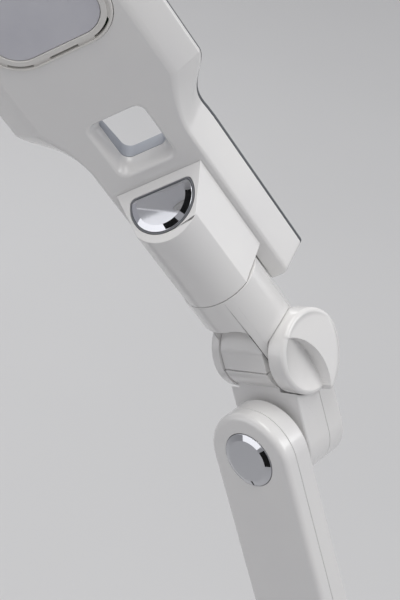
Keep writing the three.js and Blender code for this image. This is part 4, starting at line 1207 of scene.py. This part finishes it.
# %% Button cap, bezel and neck top
pocket = d_solid(BEZEL + GAP, -15, 5)
pocket.transform(ON_SLOPE)
casing("neck_top_casing", cut(nose, pocket), HEAD, "head", "neck_top", 0.4, 12)
frame_ring = cut(d_solid(BEZEL, -14.6, 0.2), d_solid(0, -20, 5))
piece("button_frame", frame_ring, BUTTON, bezel_grey, "head", ["button_bezel"],
      edge=0.15)
cap_levels = [(-GAP, -GAP, -5.0), (-GAP, -GAP, 0.1), (-GAP - 0.08, -GAP - 0.08, 0.25),
              (-GAP - 0.3, -GAP - 0.25, 0.38), (-4.1, -1.6, 1.62)]
cap = stacked([[(u, v, z) for u, v in d_outline(arc, edge)] for arc, edge, z in cap_levels])
cap = cut(cap, moved(bar(5, -8, -1.8, "z", 64), y=SPRING_CENTRE))
piece("button_cap_mirror", cap, BUTTON, chrome, "button", ["button_cap"], crease=12)

# %% [markdown]
# The button's return spring is a real coil: a spiral curve with a round wire
# swept along it, standing on the switch.

# %% Return spring
spring_inputs = [(label, "NodeSocketFloat") for label in ("Turns", "Radius", "Height", "Wire")]
spring_tree, spring_in = geometry_tree("coil_spring",
                                       spring_inputs + [("Material", "NodeSocketMaterial")])
coil_radius = spring_in.outputs["Radius"]
spiral = add(spring_tree, "GeometryNodeCurveSpiral",
             {"Resolution": 32, "Rotations": spring_in.outputs["Turns"],
              "Start Radius": coil_radius, "End Radius": coil_radius,
              "Height": spring_in.outputs["Height"]})
wire = add(spring_tree, "GeometryNodeCurvePrimitiveCircle",
           {"Resolution": 12, "Radius": spring_in.outputs["Wire"]})
coil = add(spring_tree, "GeometryNodeCurveToMesh",
           {"Curve": spiral.outputs["Curve"], "Profile Curve": wire.outputs["Curve"],
            "Fill Caps": True})
close_tree(spring_tree, coil.outputs["Mesh"], spring_in.outputs["Material"])
SPRING_LOW, SPRING_HIGH, WIRE_RADIUS = -9.2, -3.6, 0.45
spring = grown(spring_tree, {"Turns": 4.0, "Radius": 3.9, "Wire": WIRE_RADIUS,
                             "Height": SPRING_HIGH - SPRING_LOW - 2 * WIRE_RADIUS,
                             "Material": zinc})
spring = moved(resolved(spring), y=SPRING_CENTRE, z=SPRING_LOW + WIRE_RADIUS)
piece("button_coil_spring", spring, BUTTON, zinc, "head", ["button_spring"], crease=60)

# %% [markdown]
# ## Pieces that keep their drawn shape
# Pins, washers, nuts, the weight and the parts inside the head are simple
# shapes that hardly show. They keep their own meshes and get their finishes.

# %% Finishes for kept nodes
kept = {
    iron: ["base_weight"],
    extruded: ["column_plug", "arm_spine", "heat_sink"],
    zinc: ["column_bolt", "lower_pivot_pin", "upper_pivot_pin", "lower_pivot_nut",
           "upper_pivot_nut", "hinge_bolt", "swivel_tube"],
    nylon: ["lower_pivot_washer", "upper_pivot_washer", "hinge_washer_left"],
    brass: ["knob_nut"],
    laminate: ["led_board"],
    box_white: ["led_driver"],
    bezel_grey: ["button_switch"],
}
for material, names in kept.items():
    for name in names:
        slots = frame["nodes"][name].data.materials
        slots.clear()
        slots.append(material)
print(sum(len(names) for names in kept.values()), "nodes keep their shape")

# %% [markdown]
# ## Floor and light
# The floor is a large pale sheet. Its finish is matt, so the lamp leaves only a
# soft shade on it.

# %% Floor
def flat_sheet(name, centre, across, down, material):
    """A flat sheet on the stage, given by its centre and two half sides."""
    centre, across, down = Vector(centre), Vector(across), Vector(down)
    mesh = bpy.data.meshes.new(name)
    mesh.from_pydata([centre - across - down, centre + across - down, centre + across + down,
                      centre - across + down], [], [(0, 1, 2, 3)])
    mesh.materials.append(material)
    sheet = linked(name, mesh)
    return sheet


floor_paper = finish("matt_paper_floor", "#DEDEDE", "#DBDBDB", 0.9, 3, 0.01, patch_mm=900)
FLOOR_REACH = 14.0
flat_sheet("floor", (0, 0, 0), (FLOOR_REACH, 0, 0), (0, FLOOR_REACH, 0), floor_paper)


# %% Soft lights and cards
def soft_light(name, direction, place, size, power, colour="#FFFFFF"):
    """A square area light at a place, shining back along a direction."""
    data = bpy.data.lights.new(name, "AREA")
    data.shape, data.size, data.energy, data.color = "SQUARE", size, power, linear(colour)[:3]
    facing = Vector(direction).to_track_quat("Z", "Y").to_matrix().to_4x4()
    linked(name, data).matrix_world = Matrix.Translation(place) @ facing


def over_hinge(direction, distance):
    return hinge_place + distance * Vector(direction).normalized()


def card(name, centre, across, down, material):
    """A sheet that only reflections see."""
    sheet = flat_sheet(name, centre, across, down, material)
    sheet.visible_camera = sheet.visible_diffuse = False
    sheet.visible_shadow = sheet.visible_transmission = False


def mirrored(spot, normal):
    """The direction that a mirror at a spot shows to the camera."""
    sight = (spot - camera_at).normalized()
    return sight - 2 * sight.dot(normal) * normal


KEY, TOP, BACKDROP = (0.75, 0.45, 0.5), (-0.1, -0.1, 0.99), (-0.1, 0, 0.99)
soft_light("key_softbox", KEY, over_hinge(KEY, 3.0), 1.3, 23)
soft_light("top_softbox", TOP, over_hinge(TOP, 1.7), 1.4, 17, "#FFFEFC")
soft_light("backdrop_softbox", BACKDROP, (-2.3, 1.3, 2.0), 1.2, 10)
card_black = finish("black_card", "#060606", "#040404", 0.9, 3, 0.01)
card_white = finish("white_card", "#F4F4F6", "#F0F0F2", 0.9, 3, 0.01,
                    Emission_Color=linear("#FFFFFF"), Emission_Strength=0.75)
card_bright = finish("lit_white_card", "#F4F4F6", "#F0F0F2", 0.9, 3, 0.01,
                     Emission_Color=linear("#FFFFFF"), Emission_Strength=1.0)

# %% [markdown]
# The cards are placed by where each chromed face looks. A flat mirror shows the
# camera one direction, and its sloping edge shows a ring of others, so a card
# is put where that direction leads.

# %% Place the cards
disc_spot = ARM @ Vector((0, 0, arm_length))
button_spot = BUTTON @ Vector((0, 24, 1.7))
button_side, button_down, button_out = (column.normalized() for column in BUTTON.to_3x3().col)
CARD_REACH = 1.2
glance = button_spot + CARD_REACH * mirrored(button_spot, button_out)
card("white_over_button", glance + 0.15 * button_down, 0.42 * button_side, 0.15 * button_down,
     card_white)
for name, material, spot, offset, across, down in (
        ("white_front_panel", card_white, disc_spot,
         (-0.75, -1.35, 0.38), (0.72, -0.36, 0), (0, 0, 0.5)),
        ("white_back_right", card_bright, hinge_place,
         (1.0, 1.75, 0.1), (0.26, -0.15, 0), (0, 0, 0.26)),
        ("black_front_low", card_black, disc_spot,
         (0.03, -1.0, -0.36), (0.19, 0, 0), (0, 0, 0.23)),
        ("black_floor_low", card_black, disc_spot,
         (-0.62, -0.27, -1.1), (0.16, 0, 0), (0, 0.12, 0)),
        ("black_overhead", card_black, button_spot,
         (-0.099, -0.44, 1.001), (0.2, 0, 0), (0.05, -0.29, -0.12)),
        ("black_front_high", card_black, button_spot,
         (-0.132, -0.913, 0.594), (0.2, 0, 0), (0, -0.06, -0.13))):
    card(name, spot + Vector(offset), across, down, material)

# %% The room
room = bpy.data.worlds.new("pale_room")
bpy.context.scene.world = room
room.use_nodes = True
walls = room.node_tree
walls.nodes.clear()
direction = add(walls, "ShaderNodeTexCoord")
height = add(walls, "ShaderNodeSeparateXYZ", {"Vector": direction.outputs["Generated"]})
ramp = add(walls, "ShaderNodeValToRGB", {"Fac": height.outputs["Z"]})
low_wall, high_wall = ramp.color_ramp.elements
low_wall.position, low_wall.color = 0.0, linear("#B1B1B6")
high_wall.position, high_wall.color = 0.8, linear("#B4B4B6")
glow = add(walls, "ShaderNodeBackground", {"Color": ramp.outputs["Color"], "Strength": 1.0})
add(walls, "ShaderNodeOutputWorld", {"Surface": glow.outputs["Background"]})
bpy.context.scene.view_settings.view_transform = "Standard"
print("floor, three softboxes, seven cards and a pale room")
